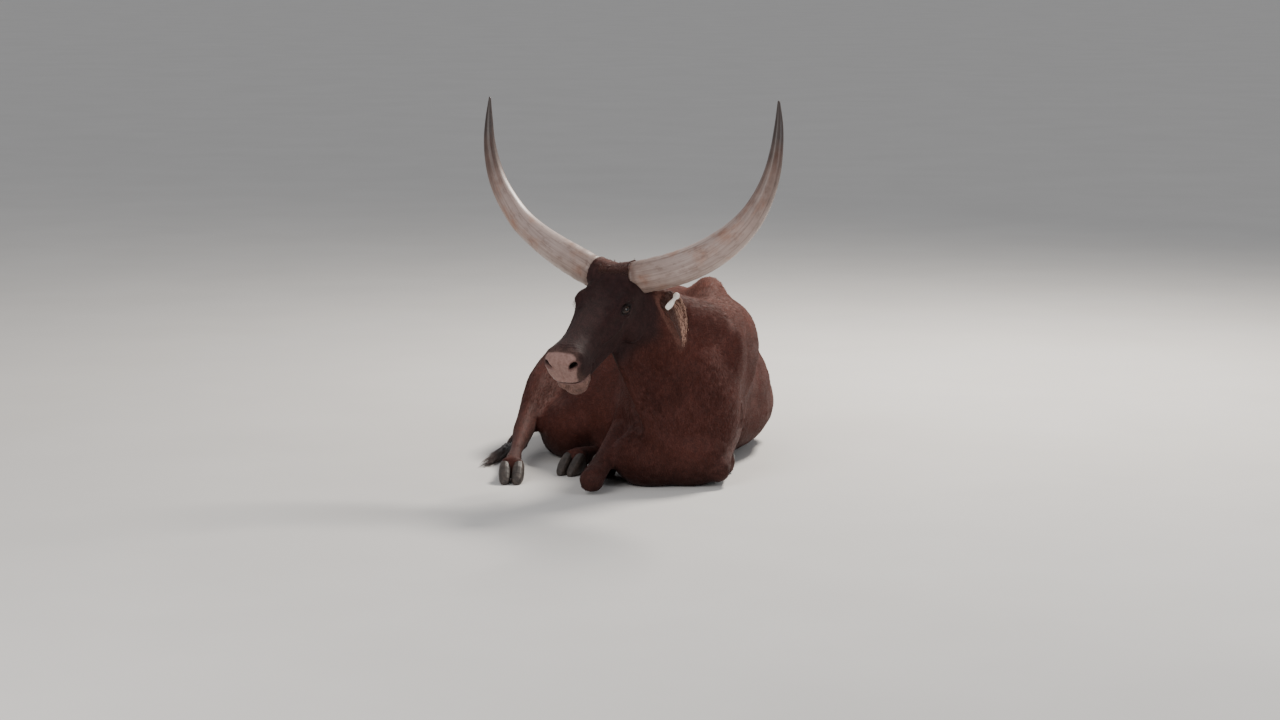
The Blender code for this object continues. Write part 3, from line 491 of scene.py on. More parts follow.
def shape_muzzle(local, normals):
    """Grooves and swellings of the muzzle, as moves in the head's frame."""
    apart = mouth_distance(local)
    push = -0.0060 * bell(apart, 0, 0.0030) + 0.0022 * bell(apart, 0.0100, 0.0055)
    push = push * smooth_step(-0.20, -0.16, local[:, 2])
    x, y, z = local.T
    groove = bell(x, 0, 0.0024) * smooth_step(-0.112, -0.100, z) * smooth_step(-0.018, -0.035, z)
    push = push - 0.0024 * smooth_step(0.470, 0.488, y) * groove
    wrinkle = np.sin((y - 0.35) * 520 + 150 * np.abs(x) + 2.2 * wave_noise(local, 70, 15))
    wrinkle = wrinkle * smooth_step(0.460, 0.446, y) * smooth_step(0.400, 0.440, y) * smooth_step(-0.075, -0.04, z)
    push = push + 0.00024 * wrinkle
    moves = normals * push[:, None]
    for side in (-1, 1):
        s, out = nostril_measure(local, side)
        press = -0.0150 * smooth_step(1.05, 0.25, s) + 0.0032 * bell(s, 1.42, 0.30)
        moves = moves + out * np.where(s < FAR, press, 0.0)[:, None]
    return moves


bm = bmesh.new()
bm.from_mesh(skin.data)
places = to_head(np.array([v.co for v in bm.verts]))
lips = (mouth_distance(places) < 0.012) & on_muzzle(places)
for chosen, rounds in ((near_nostril(places, 0.034), 60), (lips, 12)):
    round_verts = [v for v, yes in zip(bm.verts, chosen) if yes]
    for _ in range(rounds):
        bmesh.ops.smooth_vert(bm, verts=round_verts, factor=0.5, use_axis_x=True, use_axis_y=True, use_axis_z=True)
bm.to_mesh(skin.data)
bm.free()
points, normals, local = state_of(skin)
near = on_muzzle(local)
turned = unit(normals[near] @ HEAD_INVERSE[:3, :3].T)
local[near] += shape_muzzle(local[near], turned)
write_points(skin.data, from_head(local))
print("muzzle shaped from", int(near.sum()), "points")

# %% [markdown]
# ## Bones under the face
# A cow's face is thin skin over bone. A ridge runs from below the eye towards the mouth, the rim of the
# eye socket stands out above the eye, the big chewing muscle has a clear front edge, and the nose bone
# is set off by a shallow furrow. Soft ridges along short lines give all of these.

# %% Model the face
FACE_FORMS = [
    ([(0.094, 0.235, -0.082), (0.084, 0.290, -0.088), (0.072, 0.350, -0.092)], 0.0042, 0.015),
    ([(0.070, 0.130, -0.012), (0.086, 0.160, -0.012), (0.090, 0.195, -0.018)], 0.0046, 0.013),
    ([(0.052, 0.235, -0.014), (0.044, 0.320, -0.016), (0.040, 0.420, -0.014)], -0.0026, 0.010),
    ([(0.086, 0.236, -0.058), (0.074, 0.290, -0.062), (0.064, 0.345, -0.066)], -0.0028, 0.011),
    ([(0.090, 0.240, -0.115), (0.080, 0.225, -0.160), (0.066, 0.215, -0.200)], -0.0040, 0.012),
    ([(0.092, 0.180, -0.110), (0.086, 0.150, -0.160), (0.080, 0.090, -0.180)], 0.0038, 0.030),
    ([(0.060, 0.300, -0.170), (0.052, 0.240, -0.195)], 0.0022, 0.014),
    ([(0.068, 0.395, -0.090), (0.060, 0.360, -0.130)], -0.0024, 0.012),
    ([(0.020, 0.060, 0.000), (0.030, 0.110, 0.002), (0.034, 0.160, 0.000)], 0.0020, 0.014),
    ([(0.0, 0.080, 0.0), (0.0, 0.190, 0.0)], -0.0020, 0.014),
]


def raised(points, forms):
    """How high soft ridges stand: each form is a line, its height and its reach."""
    push = np.zeros(len(points))
    for line, height, reach in forms:
        push += height * bell(path_distance(points, line), 0, reach)
    return push


points, normals, local = state_of(skin)
both_sides = local * np.where(local[:, :1] < 0, (-1, 1, 1), (1, 1, 1))
push = raised(both_sides, FACE_FORMS)
clear_of_eyes = np.ones(len(points))
for eye in EYES.values():
    clear_of_eyes *= smooth_step(0.024, 0.036, apart_from(local, eye[0]))
points += normals * (push * clear_of_eyes * (local[:, 1] > 0.02))[:, None]
write_points(skin.data, points)
print("face forms from", round(push.min() * 1000, 1), "to", round(push.max() * 1000, 1), "mm")

# %% [markdown]
# ## Folds and forms of the body
# Where the head turns, the loose skin behind the jaw gathers, and the dewlap hangs in long soft folds.
# Sines that bend with slower sines make such folds; they fade out before the shoulder and the jaw.
# The ribs show faintly, and ridges and grooves mark the shoulder, the haunch, the flank and the knees.

# %% Fold the neck and dewlap
FOLD_WAY = np.array((0.36, 0.62, -0.70))
THROAT_DEPTH, DEWLAP_DEPTH, RIB_HEIGHT = 0.0042, 0.0050, 0.0024
points, normals, local = state_of(skin)
x, y, z = points.T
run = points @ FOLD_WAY + 0.020 * np.sin(z * 19 + 1.0) + 0.012 * np.sin(x * 31)
throat = bell(y, -0.14, 0.13) * bell(z, 0.50, 0.15) * smooth_step(0.03, -0.05, local[:, 1])
folds = -np.abs(np.sin(run * 62)) ** 0.7 * THROAT_DEPTH * throat
dewlap = bell(y, -0.33, 0.09) * smooth_step(0.10, 0.22, z)
dewlap = dewlap * smooth_step(0.52, 0.42, z) * smooth_step(0.16, 0.08, np.abs(x + 0.06))
hang = x + z * 0.12 + 0.006 * np.sin(z * 34)
folds = folds - np.abs(np.sin(hang * 88)) ** 0.8 * DEWLAP_DEPTH * dewlap
flank = smooth_step(0.22, 0.36, y) * smooth_step(0.86, 0.68, y)
flank = flank * smooth_step(0.16, 0.28, z) * smooth_step(0.56, 0.42, z)
ribs = RIB_HEIGHT * np.sin(y * 78 + z * 14) * flank
BODY_FORMS = [
    ([(0.170, 0.330, 0.640), (0.265, 0.260, 0.480), (0.300, 0.160, 0.300), (0.290, 0.070, 0.170)], -0.0060, 0.026),
    ([(0.180, 0.160, 0.640), (0.240, 0.100, 0.480), (0.270, 0.030, 0.300)], 0.0060, 0.060),
    ([(0.270, 0.860, 0.480), (0.330, 0.740, 0.340), (0.365, 0.600, 0.180), (0.370, 0.520, 0.070)], -0.0070, 0.028),
    ([(0.220, 0.980, 0.440), (0.320, 0.860, 0.280), (0.360, 0.720, 0.130)], 0.0070, 0.075),
    ([(-0.230, 0.300, 0.560), (-0.270, 0.230, 0.420), (-0.250, 0.120, 0.260)], -0.0050, 0.026),
    ([(-0.230, 0.700, 0.520), (-0.330, 0.600, 0.400), (-0.440, 0.480, 0.300)], -0.0055, 0.026),
    ([(0.100, 0.930, 0.600), (0.150, 1.010, 0.560)], 0.0050, 0.045),
    ([(0.040, 0.320, 0.680), (0.020, 0.700, 0.630), (-0.020, 1.000, 0.570)], 0.0030, 0.030),
    ([(-0.345, -0.385, 0.046), (-0.315, -0.240, 0.056), (-0.295, -0.140, 0.064)], -0.0090, 0.011),
    ([(-0.238, -0.385, 0.046), (-0.222, -0.240, 0.056)], -0.0070, 0.010),
    ([(-0.335, -0.345, 0.085), (-0.270, -0.335, 0.105), (-0.225, -0.345, 0.085)], -0.0050, 0.012),
    ([(-0.330, -0.385, 0.078), (-0.285, -0.400, 0.094), (-0.245, -0.395, 0.080)], 0.0035, 0.014),
    ([(-0.290, -0.470, 0.060), (-0.300, -0.465, 0.040)], -0.0040, 0.020),
    ([(0.195, -0.240, 0.055), (0.205, -0.120, 0.060), (0.205, -0.060, 0.062)], -0.0070, 0.011),
    ([(-0.600, 0.560, 0.190), (-0.560, 0.400, 0.160), (-0.575, 0.300, 0.110)], -0.0040, 0.012),
    ([(-0.560, 0.170, 0.120), (-0.566, 0.060, 0.100), (-0.570, -0.060, 0.092)], 0.0022, 0.009),
]
folds = folds + raised(points, BODY_FORMS)
points += normals * (folds + ribs)[:, None]
points[:, 2] = np.maximum(points[:, 2], 0.0004)
write_points(skin.data, points)
shade_smooth(skin.data)
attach(skin, "root")
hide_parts(*FLESH)
print("deepest fold", round(float(-folds.min()) * 1000, 1), "mm", seconds())

# %% [markdown]
# ## Colours of the hide
# Skin and hair share their markings, so one function gives the colour for any place: deep red-brown on the body,
# nearly black-brown on the face, darker towards the floor, bare pinkish-buff skin on the nose. Painted sunlight makes
# the top of the back lighter, painted shade darkens the front of the chest under the head, and the nostrils and the
# line of the mouth are painted near black as shade in those hollows. The colour is kept as an attribute, because it
# follows the cow's shape and no simple texture would.

# %% Colour for each place
COAT_RED = np.array((0.066, 0.020, 0.015))
# a lighter red: painted sunlight on the top of the back, and the colour of the poll
LIGHTER_RED = np.array((0.112, 0.038, 0.027))
# a darker red: painted shade on the front of the chest, and the colour towards the floor
DARKER_RED = np.array((0.026, 0.010, 0.008))
FACE_BROWN = np.array((0.020, 0.008, 0.008))
MUZZLE_SKIN = np.array((0.245, 0.152, 0.134))
CHIN_HAIR = np.array((0.165, 0.092, 0.076))
LIP_SKIN = np.array((0.120, 0.060, 0.055))
# near black: painted shade inside the nostrils and along the line of the mouth
PAINTED_HOLLOW_SHADE = np.array((0.016, 0.008, 0.008))
EYE_RIM = np.array((0.012, 0.007, 0.007))
EAR_INSIDE = np.array((0.105, 0.045, 0.034))
# pale ear hair, made brighter with painted sunlight shining through the fringe
EAR_HAIR_PALE_AND_SUNLIT = np.array((0.560, 0.335, 0.250))
EAR_POINTS = ((0.094, 0.016, -0.108), (0.178, -0.008, -0.140), (0.166, 0.046, -0.302))
EAR_WAY = (0.68, 0.56, 0.36)


def ear_path(side, count=12):
    """Points along the middle of an ear: side 1 is the cow's left."""
    root, mid, tip = [np.array(HEAD @ Vector((-x * side, y, z))) for x, y, z in EAR_POINTS]
    t = np.linspace(0, 1, count)[:, None]
    return root * (1 - t) ** 2 + mid * (2 * t * (1 - t)) + tip * t ** 2


def ear_way(side):
    way = TURN.to_3x3() @ Vector((-EAR_WAY[0] * side, EAR_WAY[1], EAR_WAY[2]))
    return np.array(way.normalized())


def fade(base, other, weight):
    """From base to other, by a weight from 0 to 1."""
    return base * (1 - weight) + other * weight


ear_trees = []
for node in ("ear_L", "ear_R"):
    bm = bmesh.new()
    bm.from_mesh(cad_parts[node].data)
    ear_trees.append(BVHTree.FromBMesh(bm))
    bm.free()


def ear_part(points):
    """1 on the ears and 0 elsewhere."""
    part = np.zeros(len(points))
    for side, tree in zip((1, -1), ear_trees):
        close = np.nonzero(path_distance(points, ear_path(side)) < 0.075)[0]
        for k in close:
            hit = tree.find_nearest(Vector(points[k]), 0.012)
            if hit[0] is not None:
                part[k] = max(part[k], 1.0 if hit[3] < 0.0075 else 0.4)
    return part


def bare_nose(local):
    """Where the muzzle has no hair."""
    x, y, z = local.T
    ragged = 0.0025 * wave_noise(local, 160, 12)
    side = np.maximum(np.abs(x) - 0.046, 0)
    upper = smooth_step(0.462, 0.472, y + ragged - 0.85 * side - 0.35 * np.maximum(z + 0.02, 0))
    edge = 0.062 - 0.22 * np.maximum(-0.050 - z, 0)
    upper = upper * smooth_step(-0.124, -0.116, z) * smooth_step(edge, edge - 0.007, np.abs(x) + ragged)
    lips = smooth_step(0.010, 0.005, mouth_distance(local)) * smooth_step(0.430, 0.465, y)
    return np.clip(np.maximum(upper, lips), 0, 1) * (z > HEAD_UNDER)


def hide_colour_and_painted_light(points, normals):
    """The colour of the hide at each point, with painted sunlight and painted shade in it: x, y, z in the world and
    u, v, w in the head's frame.
    """
    local = to_head(points)
    x, y, z = points.T
    u, v, w = np.abs(local[:, 0]), local[:, 1], local[:, 2]
    # painted sunlight: the top of the back and the hump are made lighter, as where the sun falls
    painted_sunlight = smooth_step(0.42, 0.66, z + 0.05 * wave_noise(points, 12, 3)) * smooth_step(-0.15, 0.1, y)
    # darker towards the floor
    low = smooth_step(0.16, 0.02, z + 0.03 * wave_noise(points, 20, 4))
    # painted shade on the front of the chest, under the head and neck
    painted_chest_shade = smooth_step(-0.16, -0.30, y) * smooth_step(0.62, 0.45, z)
    head = smooth_step(-0.05, 0.07, v + 0.02 * wave_noise(points, 30, 5))
    head = head * smooth_step(-0.27, -0.20, w) * smooth_step(0.135, 0.110, u)
    poll = smooth_step(0.05, -0.01, v) * smooth_step(-0.10, -0.03, w) * smooth_step(0.10, 0.07, u)
    ears = ear_part(points)
    layers = [(LIGHTER_RED, 0.75 * painted_sunlight), (DARKER_RED, 0.62 * low), (DARKER_RED, 0.30 * painted_chest_shade),
              (FACE_BROWN, 0.92 * head), (LIGHTER_RED * 0.9, 0.6 * poll), (COAT_RED * 0.8, 0.8 * ears)]
    for side in (1, -1):
        inside = smooth_step(0.15, 0.5, normals @ ear_way(side)) * (x * side > -0.19 * side)
        layers += [(EAR_INSIDE, 0.9 * inside * ears)]
    chin = smooth_step(0.405, 0.460, v + 0.010 * wave_noise(local, 90, 13))
    chin = chin * smooth_step(-0.108, -0.118, w) * (w > HEAD_UNDER)
    ring = smooth_step(0.436, 0.470, v + 0.006 * wave_noise(local, 120, 14)) * (w > HEAD_UNDER)
    ring = ring * smooth_step(0.072, 0.056, u)
    apart = mouth_distance(local)
    lip = smooth_step(0.0100, 0.0040, apart) * smooth_step(0.380, 0.400, v)
    # painted shade along the line of the mouth, where the lips meet
    line = smooth_step(0.0042, 0.0016, apart) * (v > 0.372)
    layers += [(CHIN_HAIR, 0.90 * chin), (CHIN_HAIR * 0.55, 0.60 * ring * (1 - chin)),
               (MUZZLE_SKIN, bare_nose(local)), (LIP_SKIN, 0.75 * lip), (PAINTED_HOLLOW_SHADE, 0.95 * line)]
    for side in (-1, 1):
        s, _ = nostril_measure(local, side)
        # a darker lip ring round each nostril, and painted shade inside it
        layers += [(LIP_SKIN, 0.55 * smooth_step(1.7, 1.1, s)), (PAINTED_HOLLOW_SHADE, smooth_step(1.12, 0.80, s))]
    for eye in EYES.values():
        a, b, h = eye_place(local, eye)
        layers += [(EYE_RIM, smooth_step(1.75, 1.20, slit_measure(a, b)) * (h > -0.01))]
    colour = np.tile(COAT_RED, (len(points), 1))
    for tint, weight in layers:
        colour = fade(colour, tint, weight[:, None])
    return colour * (1 + 0.10 * wave_noise(points, 45, 6))[:, None]


def store_colour(mesh, colours):
    layer = mesh.color_attributes.new(name="Tone", type="FLOAT_COLOR", domain="POINT")
    rgba = np.ones((len(colours), 4), np.float32)
    rgba[:, :3] = np.clip(colours, 0, 1)
    layer.data.foreach_set("color", rgba.ravel())


points, normals, local = state_of(skin)
store_colour(skin.data, hide_colour_and_painted_light(points, normals))
bare = bare_nose(local)
store_value(skin.data, "Bare", bare)
print("bare points:", int((bare > 0.5).sum()))

# %% [markdown]
# ## Materials as node trees
# A small helper writes the nodes, so that each finish below reads as a list of what it is made of.
# Bump and colour read Object coordinates, which stay fixed to the cow from every side.

# %% Node helper
class Finish:
    """A material, with short names for the nodes that it needs."""

    def __init__(self, name, rough, **sockets):
        self.material = bpy.data.materials.new(name)
        self.material.use_nodes = True
        self.tree = self.material.node_tree
        self.shader = self.tree.nodes["Principled BSDF"]
        self.shader.inputs["Roughness"].default_value = rough
        for socket, value in sockets.items():
            self.shader.inputs[socket.replace("_", " ")].default_value = value
        self.place = self.node("TexCoord", "Object", {})

    def node(self, kind, output, inputs, **settings):
        """An output of a new node. Its inputs are plain values or the outputs of other nodes."""
        node = self.tree.nodes.new("ShaderNode" + kind)
        for setting, value in settings.items():
            setattr(node, setting, value)
        for socket, value in inputs.items():
            if isinstance(value, bpy.types.NodeSocket):
                self.link(value, node.inputs[socket])
            else:
                node.inputs[socket].default_value = value
        return node.outputs[output]

    def link(self, source, target):
        self.tree.links.new(source, target)

    def stretched(self, scale, source=None):
        return self.node("Mapping", "Vector", {"Scale": scale, "Vector": source or self.place})

    def noise(self, scale, detail=3.0, rough=0.55, source=None):
        return self.node("TexNoise", "Fac", {"Scale": scale, "Detail": detail, "Roughness": rough,
                                             "Vector": source or self.place})

    def cells(self, scale):
        return self.node("TexVoronoi", "Distance", {"Scale": scale, "Vector": self.place})

    def ramp(self, source, stops):
        node = self.tree.nodes.new("ShaderNodeValToRGB")
        while len(node.color_ramp.elements) < len(stops):
            node.color_ramp.elements.new(0.5)
        for element, (place, colour) in zip(node.color_ramp.elements, stops):
            element.position = place
            colour = (colour,) * 3 if isinstance(colour, (int, float)) else colour
            element.color = (*colour, 1.0)
        self.link(source, node.inputs["Fac"])
        return node.outputs["Color"]

    def span(self, source, low, high):
        """From low to high over the middle part of a noise."""
        return self.ramp(source, [(0.3, low), (0.7, high)])

    def math(self, kind, a, b):
        return self.node("Math", "Value", {0: a, 1: b}, operation=kind)

    def blend(self, kind, factor, a, b):
        """A colour mix. Its sockets have numbers, because those for other kinds of data share their names."""
        return self.node("Mix", 2, {0: factor, 6: a, 7: b}, data_type="RGBA", blend_type=kind)

    def times(self, first, *others, factor=1.0):
        """A colour multiplied by one layer after another."""
        for other in others:
            first = self.blend("MULTIPLY", factor, first, other)
        return first

    def attribute(self, name, output):
        return self.node("Attribute", output, {}, attribute_name=name)

    def bump(self, height, strength, distance):
        """Bump over the bump that is there already."""
        inputs = {"Strength": strength, "Distance": distance, "Height": height}
        if self.shader.inputs["Normal"].links:
            inputs["Normal"] = self.shader.inputs["Normal"].links[0].from_socket
        self.link(self.node("Bump", "Normal", inputs), self.shader.inputs["Normal"])

    def colour(self, source):
        self.link(source, self.shader.inputs["Base Color"])

    def roughness(self, source):
        self.link(source, self.shader.inputs["Roughness"])

    def on(self, obj):
        obj.data.materials.clear()
        obj.data.materials.append(self.material)


print("node helper ready")

# %% [markdown]
# ## The skin's finish
# Under the tufts the skin carries the look of short hair itself: a fine noise, stretched along the
# body, both as light and dark streaks and as bump. The bare nose has small bumps like wet cobbles
# instead and shines a little. The attribute Bare says where it is.

# %% Skin material
hide = Finish("hide", 0.66, Specular_IOR_Level=0.15, Sheen_Weight=0.03, Sheen_Roughness=0.45)
tone = hide.attribute("Tone", "Color")
bare_part = hide.attribute("Bare", "Fac")
streak = hide.noise(330, 3, 0.6, hide.stretched((1.0, 0.16, 0.55)))
clumps = hide.noise(58, 3, 0.6, hide.stretched((1.0, 0.45, 0.7)))
patches = hide.noise(7, 3, 0.55)
streak_tone = hide.ramp(streak, [(0.30, 0.55), (0.72, 1.45)])
haired = hide.times(tone, streak_tone, hide.span(clumps, 0.72, 1.25), hide.span(patches, 0.84, 1.16))
cobbles = hide.cells(330)
mottle = hide.ramp(hide.noise(95, 4, 0.6), [(0.30, (0.80, 0.72, 0.70)), (0.64, (1.10, 1.08, 1.06))])
nose = hide.times(tone, mottle)
hide.colour(hide.blend("MIX", bare_part, haired, nose))
hide.roughness(hide.ramp(bare_part, [(0.2, 0.70), (0.9, 0.36)]))
hair_height = hide.math("MULTIPLY", streak, hide.math("SUBTRACT", 1.0, bare_part))
nose_height = hide.math("MULTIPLY", cobbles, bare_part)
hide.bump(hair_height, 0.55, 0.0016)
hide.bump(nose_height, 0.60, 0.0016)
hide.on(skin)
print("hide finish has", len(hide.tree.nodes), "nodes")

# %% [markdown]
# ## Which way the hair lies
# Hair grows from the nose backwards, down the flanks and down each leg. A few guide lines give its
# way; between them it is blended from the nearest ones. The lines of the legs and the tail run through
# the middle of the limb, and those of the body over its surface.

# %% Guide lines
FORE_R = [(-0.075, -0.120, 0.350), (-0.168, 0.000, 0.160), (-0.246, -0.250, 0.092), (-0.290, -0.418, 0.052)]
SHIN_R = [(-0.290, -0.418, 0.046), (-0.270, -0.240, 0.033), (-0.258, -0.155, 0.036)]
FORE_L = [(0.140, -0.100, 0.340), (0.190, 0.085, 0.155), (0.166, -0.140, 0.098), (0.150, -0.272, 0.062)]
SHIN_L = [(0.150, -0.272, 0.055), (0.170, -0.110, 0.033), (0.178, -0.040, 0.036)]
HIND_R = [(-0.270, 0.890, 0.300), (-0.450, 0.610, 0.242), (-0.538, 0.350, 0.142), (-0.566, 0.150, 0.082),
          (-0.578, -0.150, 0.056)]
HIND_L = [(0.208, 0.860, 0.190), (0.225, 0.570, 0.110), (-0.100, 0.380, 0.066), (-0.265, 0.170, 0.052),
          (-0.352, 0.015, 0.056)]
TAIL = [(-0.088, 1.120, 0.478), (-0.172, 1.262, 0.370), (-0.335, 1.180, 0.130), (-0.530, 0.940, 0.020),
        (-0.615, 0.620, 0.015), (-0.620, 0.500, 0.0145)]
BODY_LINES = [
    [(-0.10, -0.16, 0.76), (0.07, 0.06, 0.70), (0.11, 0.30, 0.66), (0.03, 0.90, 0.59), (-0.06, 1.20, 0.45),
     (-0.08, 1.27, 0.15)],
    [(-0.26, -0.18, 0.62), (-0.14, 0.00, 0.48), (-0.27, 0.40, 0.44), (-0.27, 0.80, 0.40), (-0.20, 1.15, 0.20)],
    [(-0.16, -0.10, 0.36), (-0.36, 0.35, 0.24), (-0.40, 0.72, 0.06)],
    [(0.00, -0.20, 0.62), (0.20, 0.00, 0.52), (0.36, 0.40, 0.44), (0.34, 0.80, 0.36), (0.14, 1.15, 0.16)],
    [(0.24, -0.06, 0.40), (0.37, 0.35, 0.24), (0.37, 0.85, 0.06)],
    [(-0.10, -0.32, 0.46), (-0.02, -0.36, 0.08)], [(0.12, -0.26, 0.46), (0.16, -0.32, 0.12)],
    [(-0.20, -0.34, 0.50), (-0.06, -0.37, 0.20)],
]
FACE_LINES = [
    [(0, 0.17, 0.00), (0, 0.32, 0.00), (0, 0.46, 0.00)], [(0, 0.15, 0.00), (0, 0.05, -0.01), (0, -0.04, -0.05)],
    [(0.03, 0.16, 0.0), (0.09, 0.13, -0.04)], [(0.05, 0.24, -0.01), (0.09, 0.22, -0.06), (0.08, 0.14, -0.14)],
    [(0.06, 0.42, -0.06), (0.07, 0.28, -0.11), (0.06, 0.10, -0.17)], [(0.04, 0.44, -0.14), (0.03, 0.2, -0.20)],
]


def guide_samples():
    """Places and ways along every guide line, a few centimetres apart."""
    lines = [FORE_R, SHIN_R, FORE_L, SHIN_L, HIND_R, HIND_L, TAIL, *BODY_LINES]
    for line in FACE_LINES:
        for side in (-1, 1):
            lines.append([tuple(HEAD @ Vector((x * side, y, z))) for x, y, z in line])
    for side in (-1, 1):
        lines.append([tuple(p) for p in ear_path(side, 6)])
    places, ways = [], []
    for line in lines:
        for start, end in zip(line, line[1:]):
            start, end = np.array(start), np.array(end)
            count = max(2, int(np.linalg.norm(end - start) / 0.035))
            for t in np.linspace(0, 1, count, endpoint=False):
                places.append(start + (end - start) * t)
                ways.append((end - start) / np.linalg.norm(end - start))
    return np.array(places), np.array(ways)


GUIDE_PLACES, GUIDE_WAYS = guide_samples()
guide_tree = KDTree(len(GUIDE_PLACES))
for index, place in enumerate(GUIDE_PLACES):
    guide_tree.insert(place, index)
guide_tree.balance()


def lie_of_hair(roots, normals):
    """The way the hair lies at each root, along the skin."""
    ways = np.empty_like(roots)
    for k, root in enumerate(roots):
        total = np.zeros(3)
        for _, index, apart in guide_tree.find_n(root, 5):
            total += GUIDE_WAYS[index] / (apart * apart + 1e-4)
        ways[k] = total
    ways -= normals * (ways * normals).sum(1)[:, None]
    return unit(ways)


print("guides:", len(GUIDE_PLACES))

# %% [markdown]
# ## A mesh of many strands
# A strand is a thin three-sided blade: rings of three points that shrink to a tip. Thousands of them
# are laid in arrays and made one mesh, because one mesh with a hundred thousand faces is light for
# Blender, while a thousand objects aren't. Each blade takes a tiny patch of the map at its root.

# %% Strand builder
PATCH = 0.003


def strand_mesh(name, path, side, rise, wide, flat, uv, colours, shading=None):
    """One object of strands: path, side and rise are (strands, rings, 3), wide is (strands, rings).

    Where shading holds a normal for each strand, light falls on it almost as on the skin there."""
    count, rings = path.shape[:2]
    body = rings - 1
    corners = np.array(((0.5, 0.0), (-0.5, 0.0), (0.0, 1.0)))
    ring = path[:, :body, None] + side[:, :body, None] * (corners[None, None, :, :1] * wide[:, :body, None, None])
    ring = ring + rise[:, :body, None] * (corners[None, None, :, 1:] * (wide[:, :body] * flat)[..., None, None])
    verts = np.concatenate([ring.reshape(count, body * 3, 3), path[:, -1:]], 1)
    each = body * 3 + 1
    faces = [(0, 1, 2)]
    for level in range(body - 1):
        low, high = level * 3, level * 3 + 3
        for k in range(3):
            after = (k + 1) % 3
            faces += [(low + k, high + k, high + after), (low + k, high + after, low + after)]
    top = (body - 1) * 3
    faces += [(top + k, each - 1, top + (k + 1) % 3) for k in range(3)]
    faces = np.array(faces)
    corner_of_loop = (np.arange(count)[:, None, None] * each + faces[None]).reshape(-1)
    mesh = bpy.data.meshes.new(name)
    mesh.vertices.add(count * each)
    mesh.vertices.foreach_set("co", verts.ravel())
    mesh.loops.add(len(corner_of_loop))
    mesh.loops.foreach_set("vertex_index", corner_of_loop.astype(np.int32))
    total = count * len(faces)
    mesh.polygons.add(total)
    mesh.polygons.foreach_set("loop_start", np.arange(total, dtype=np.int32) * 3)
    mesh.polygons.foreach_set("use_smooth", np.ones(total, bool))
    mesh.update(calc_edges=True)
    across = np.tile((1.0, 0.0, 0.5), body).tolist() + [0.5]
    up = np.repeat(np.linspace(0, 1, rings)[:body], 3).tolist() + [1.0]
    patch = (np.array([across, up]).T - 0.5) * PATCH
    spots = (uv[:, None] + patch[None]).reshape(-1, 2)[corner_of_loop]
    mesh.uv_layers.new(name="OFBake").data.foreach_set("uv", np.clip(spots, 0, 1).ravel())
    growth = np.array(up)[None, :, None]
    shade = colours[:, None] * (0.86 + 0.28 * growth)
    store_colour(mesh, shade.reshape(-1, 3))
    if shading is not None:
        own = read_normals(mesh)
        blended = unit(np.repeat(shading, each, 0) + 0.22 * own)
        mesh.normals_split_custom_set_from_vertices(blended.astype(np.float32))
    obj = linked(name, mesh)
    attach(obj, "root")
    return obj


print("each strand takes", PATCH, "of the map's width")

# %% [markdown]
# ## Roots of the short coat
# Each triangle of the skin gets tufts by its area and by how thick the coat is there. The face and the
# feet have the shortest and finest hair, the hump the longest. Nothing grows on the bare nose, inside
# the lids, under the horns or where the cow rests on the floor. So the horns' middle lines are laid
# down here: each row is the way sideways, back and up from a point between the roots, and the radius.

# %% Where the horns run
HORN_MIDDLE = np.array((-0.194, -0.24, 0.791))
HORN_SIDE = np.array((0.848, -0.529, 0.035))
HORN_BACK = np.array((0.536, 0.844, 0.0))
HORN_R = [
    (0.066, -0.004, -0.046, 0.0545), (0.116, 0.0, -0.033, 0.0565), (0.199, 0.005, 0.003, 0.0555),
    (0.282, 0.012, 0.042, 0.0515), (0.362, 0.021, 0.086, 0.0465), (0.435, 0.030, 0.137, 0.0425),
    (0.496, 0.041, 0.199, 0.0380), (0.546, 0.051, 0.268, 0.0328), (0.581, 0.063, 0.341, 0.0272),
    (0.603, 0.075, 0.418, 0.0208), (0.612, 0.087, 0.495, 0.0138), (0.617, 0.100, 0.572, 0.0040),
]
HORN_L = [
    (0.046, -0.004, -0.056, 0.0550), (0.107, 0.0, -0.046, 0.0585), (0.202, 0.005, -0.025, 0.0600),
    (0.291, 0.012, 0.005, 0.0590), (0.373, 0.021, 0.046, 0.0560), (0.445, 0.030, 0.097, 0.0510),
    (0.504, 0.041, 0.160, 0.0440), (0.546, 0.051, 0.232, 0.0368), (0.572, 0.063, 0.310, 0.0298),
    (0.583, 0.075, 0.391, 0.0228), (0.584, 0.087, 0.473, 0.0155), (0.576, 0.100, 0.555, 0.0045),
]


def horn_line(table, side):
    """The middle line of a horn in the world: side 1 is the cow's left."""
    line = HORN_MIDDLE + np.outer(table[:, 0] * side, HORN_SIDE) + np.outer(table[:, 1], HORN_BACK)
    line[:, 2] += table[:, 2]
    return line


print("stations of each horn:", len(HORN_R))

# %% Sample roots
HORN_CLEAR = 0.0595
skin.data.calc_loop_triangles()
tri_count = len(skin.data.loop_triangles)
tri_verts = np.empty(tri_count * 3, np.int32)
tri_loops = np.empty(tri_count * 3, np.int32)
skin.data.loop_triangles.foreach_get("vertices", tri_verts)
skin.data.loop_triangles.foreach_get("loops", tri_loops)
tri_verts, tri_loops = tri_verts.reshape(-1, 3), tri_loops.reshape(-1, 3)
skin_points, skin_normals, _ = state_of(skin)
skin_uv = np.empty(len(skin.data.loops) * 2)
skin.data.uv_layers["OFBake"].data.foreach_get("uv", skin_uv)
skin_uv = skin_uv.reshape(-1, 2)
corner = skin_points[tri_verts]
tri_area = np.linalg.norm(np.cross(corner[:, 1] - corner[:, 0], corner[:, 2] - corner[:, 0]), axis=1) / 2
LIMB_LINES = [FORE_R, SHIN_R, FORE_L, SHIN_L, HIND_R[2:], HIND_L[2:], TAIL]
print("skin area", round(float(tri_area.sum()), 2), "square metres")


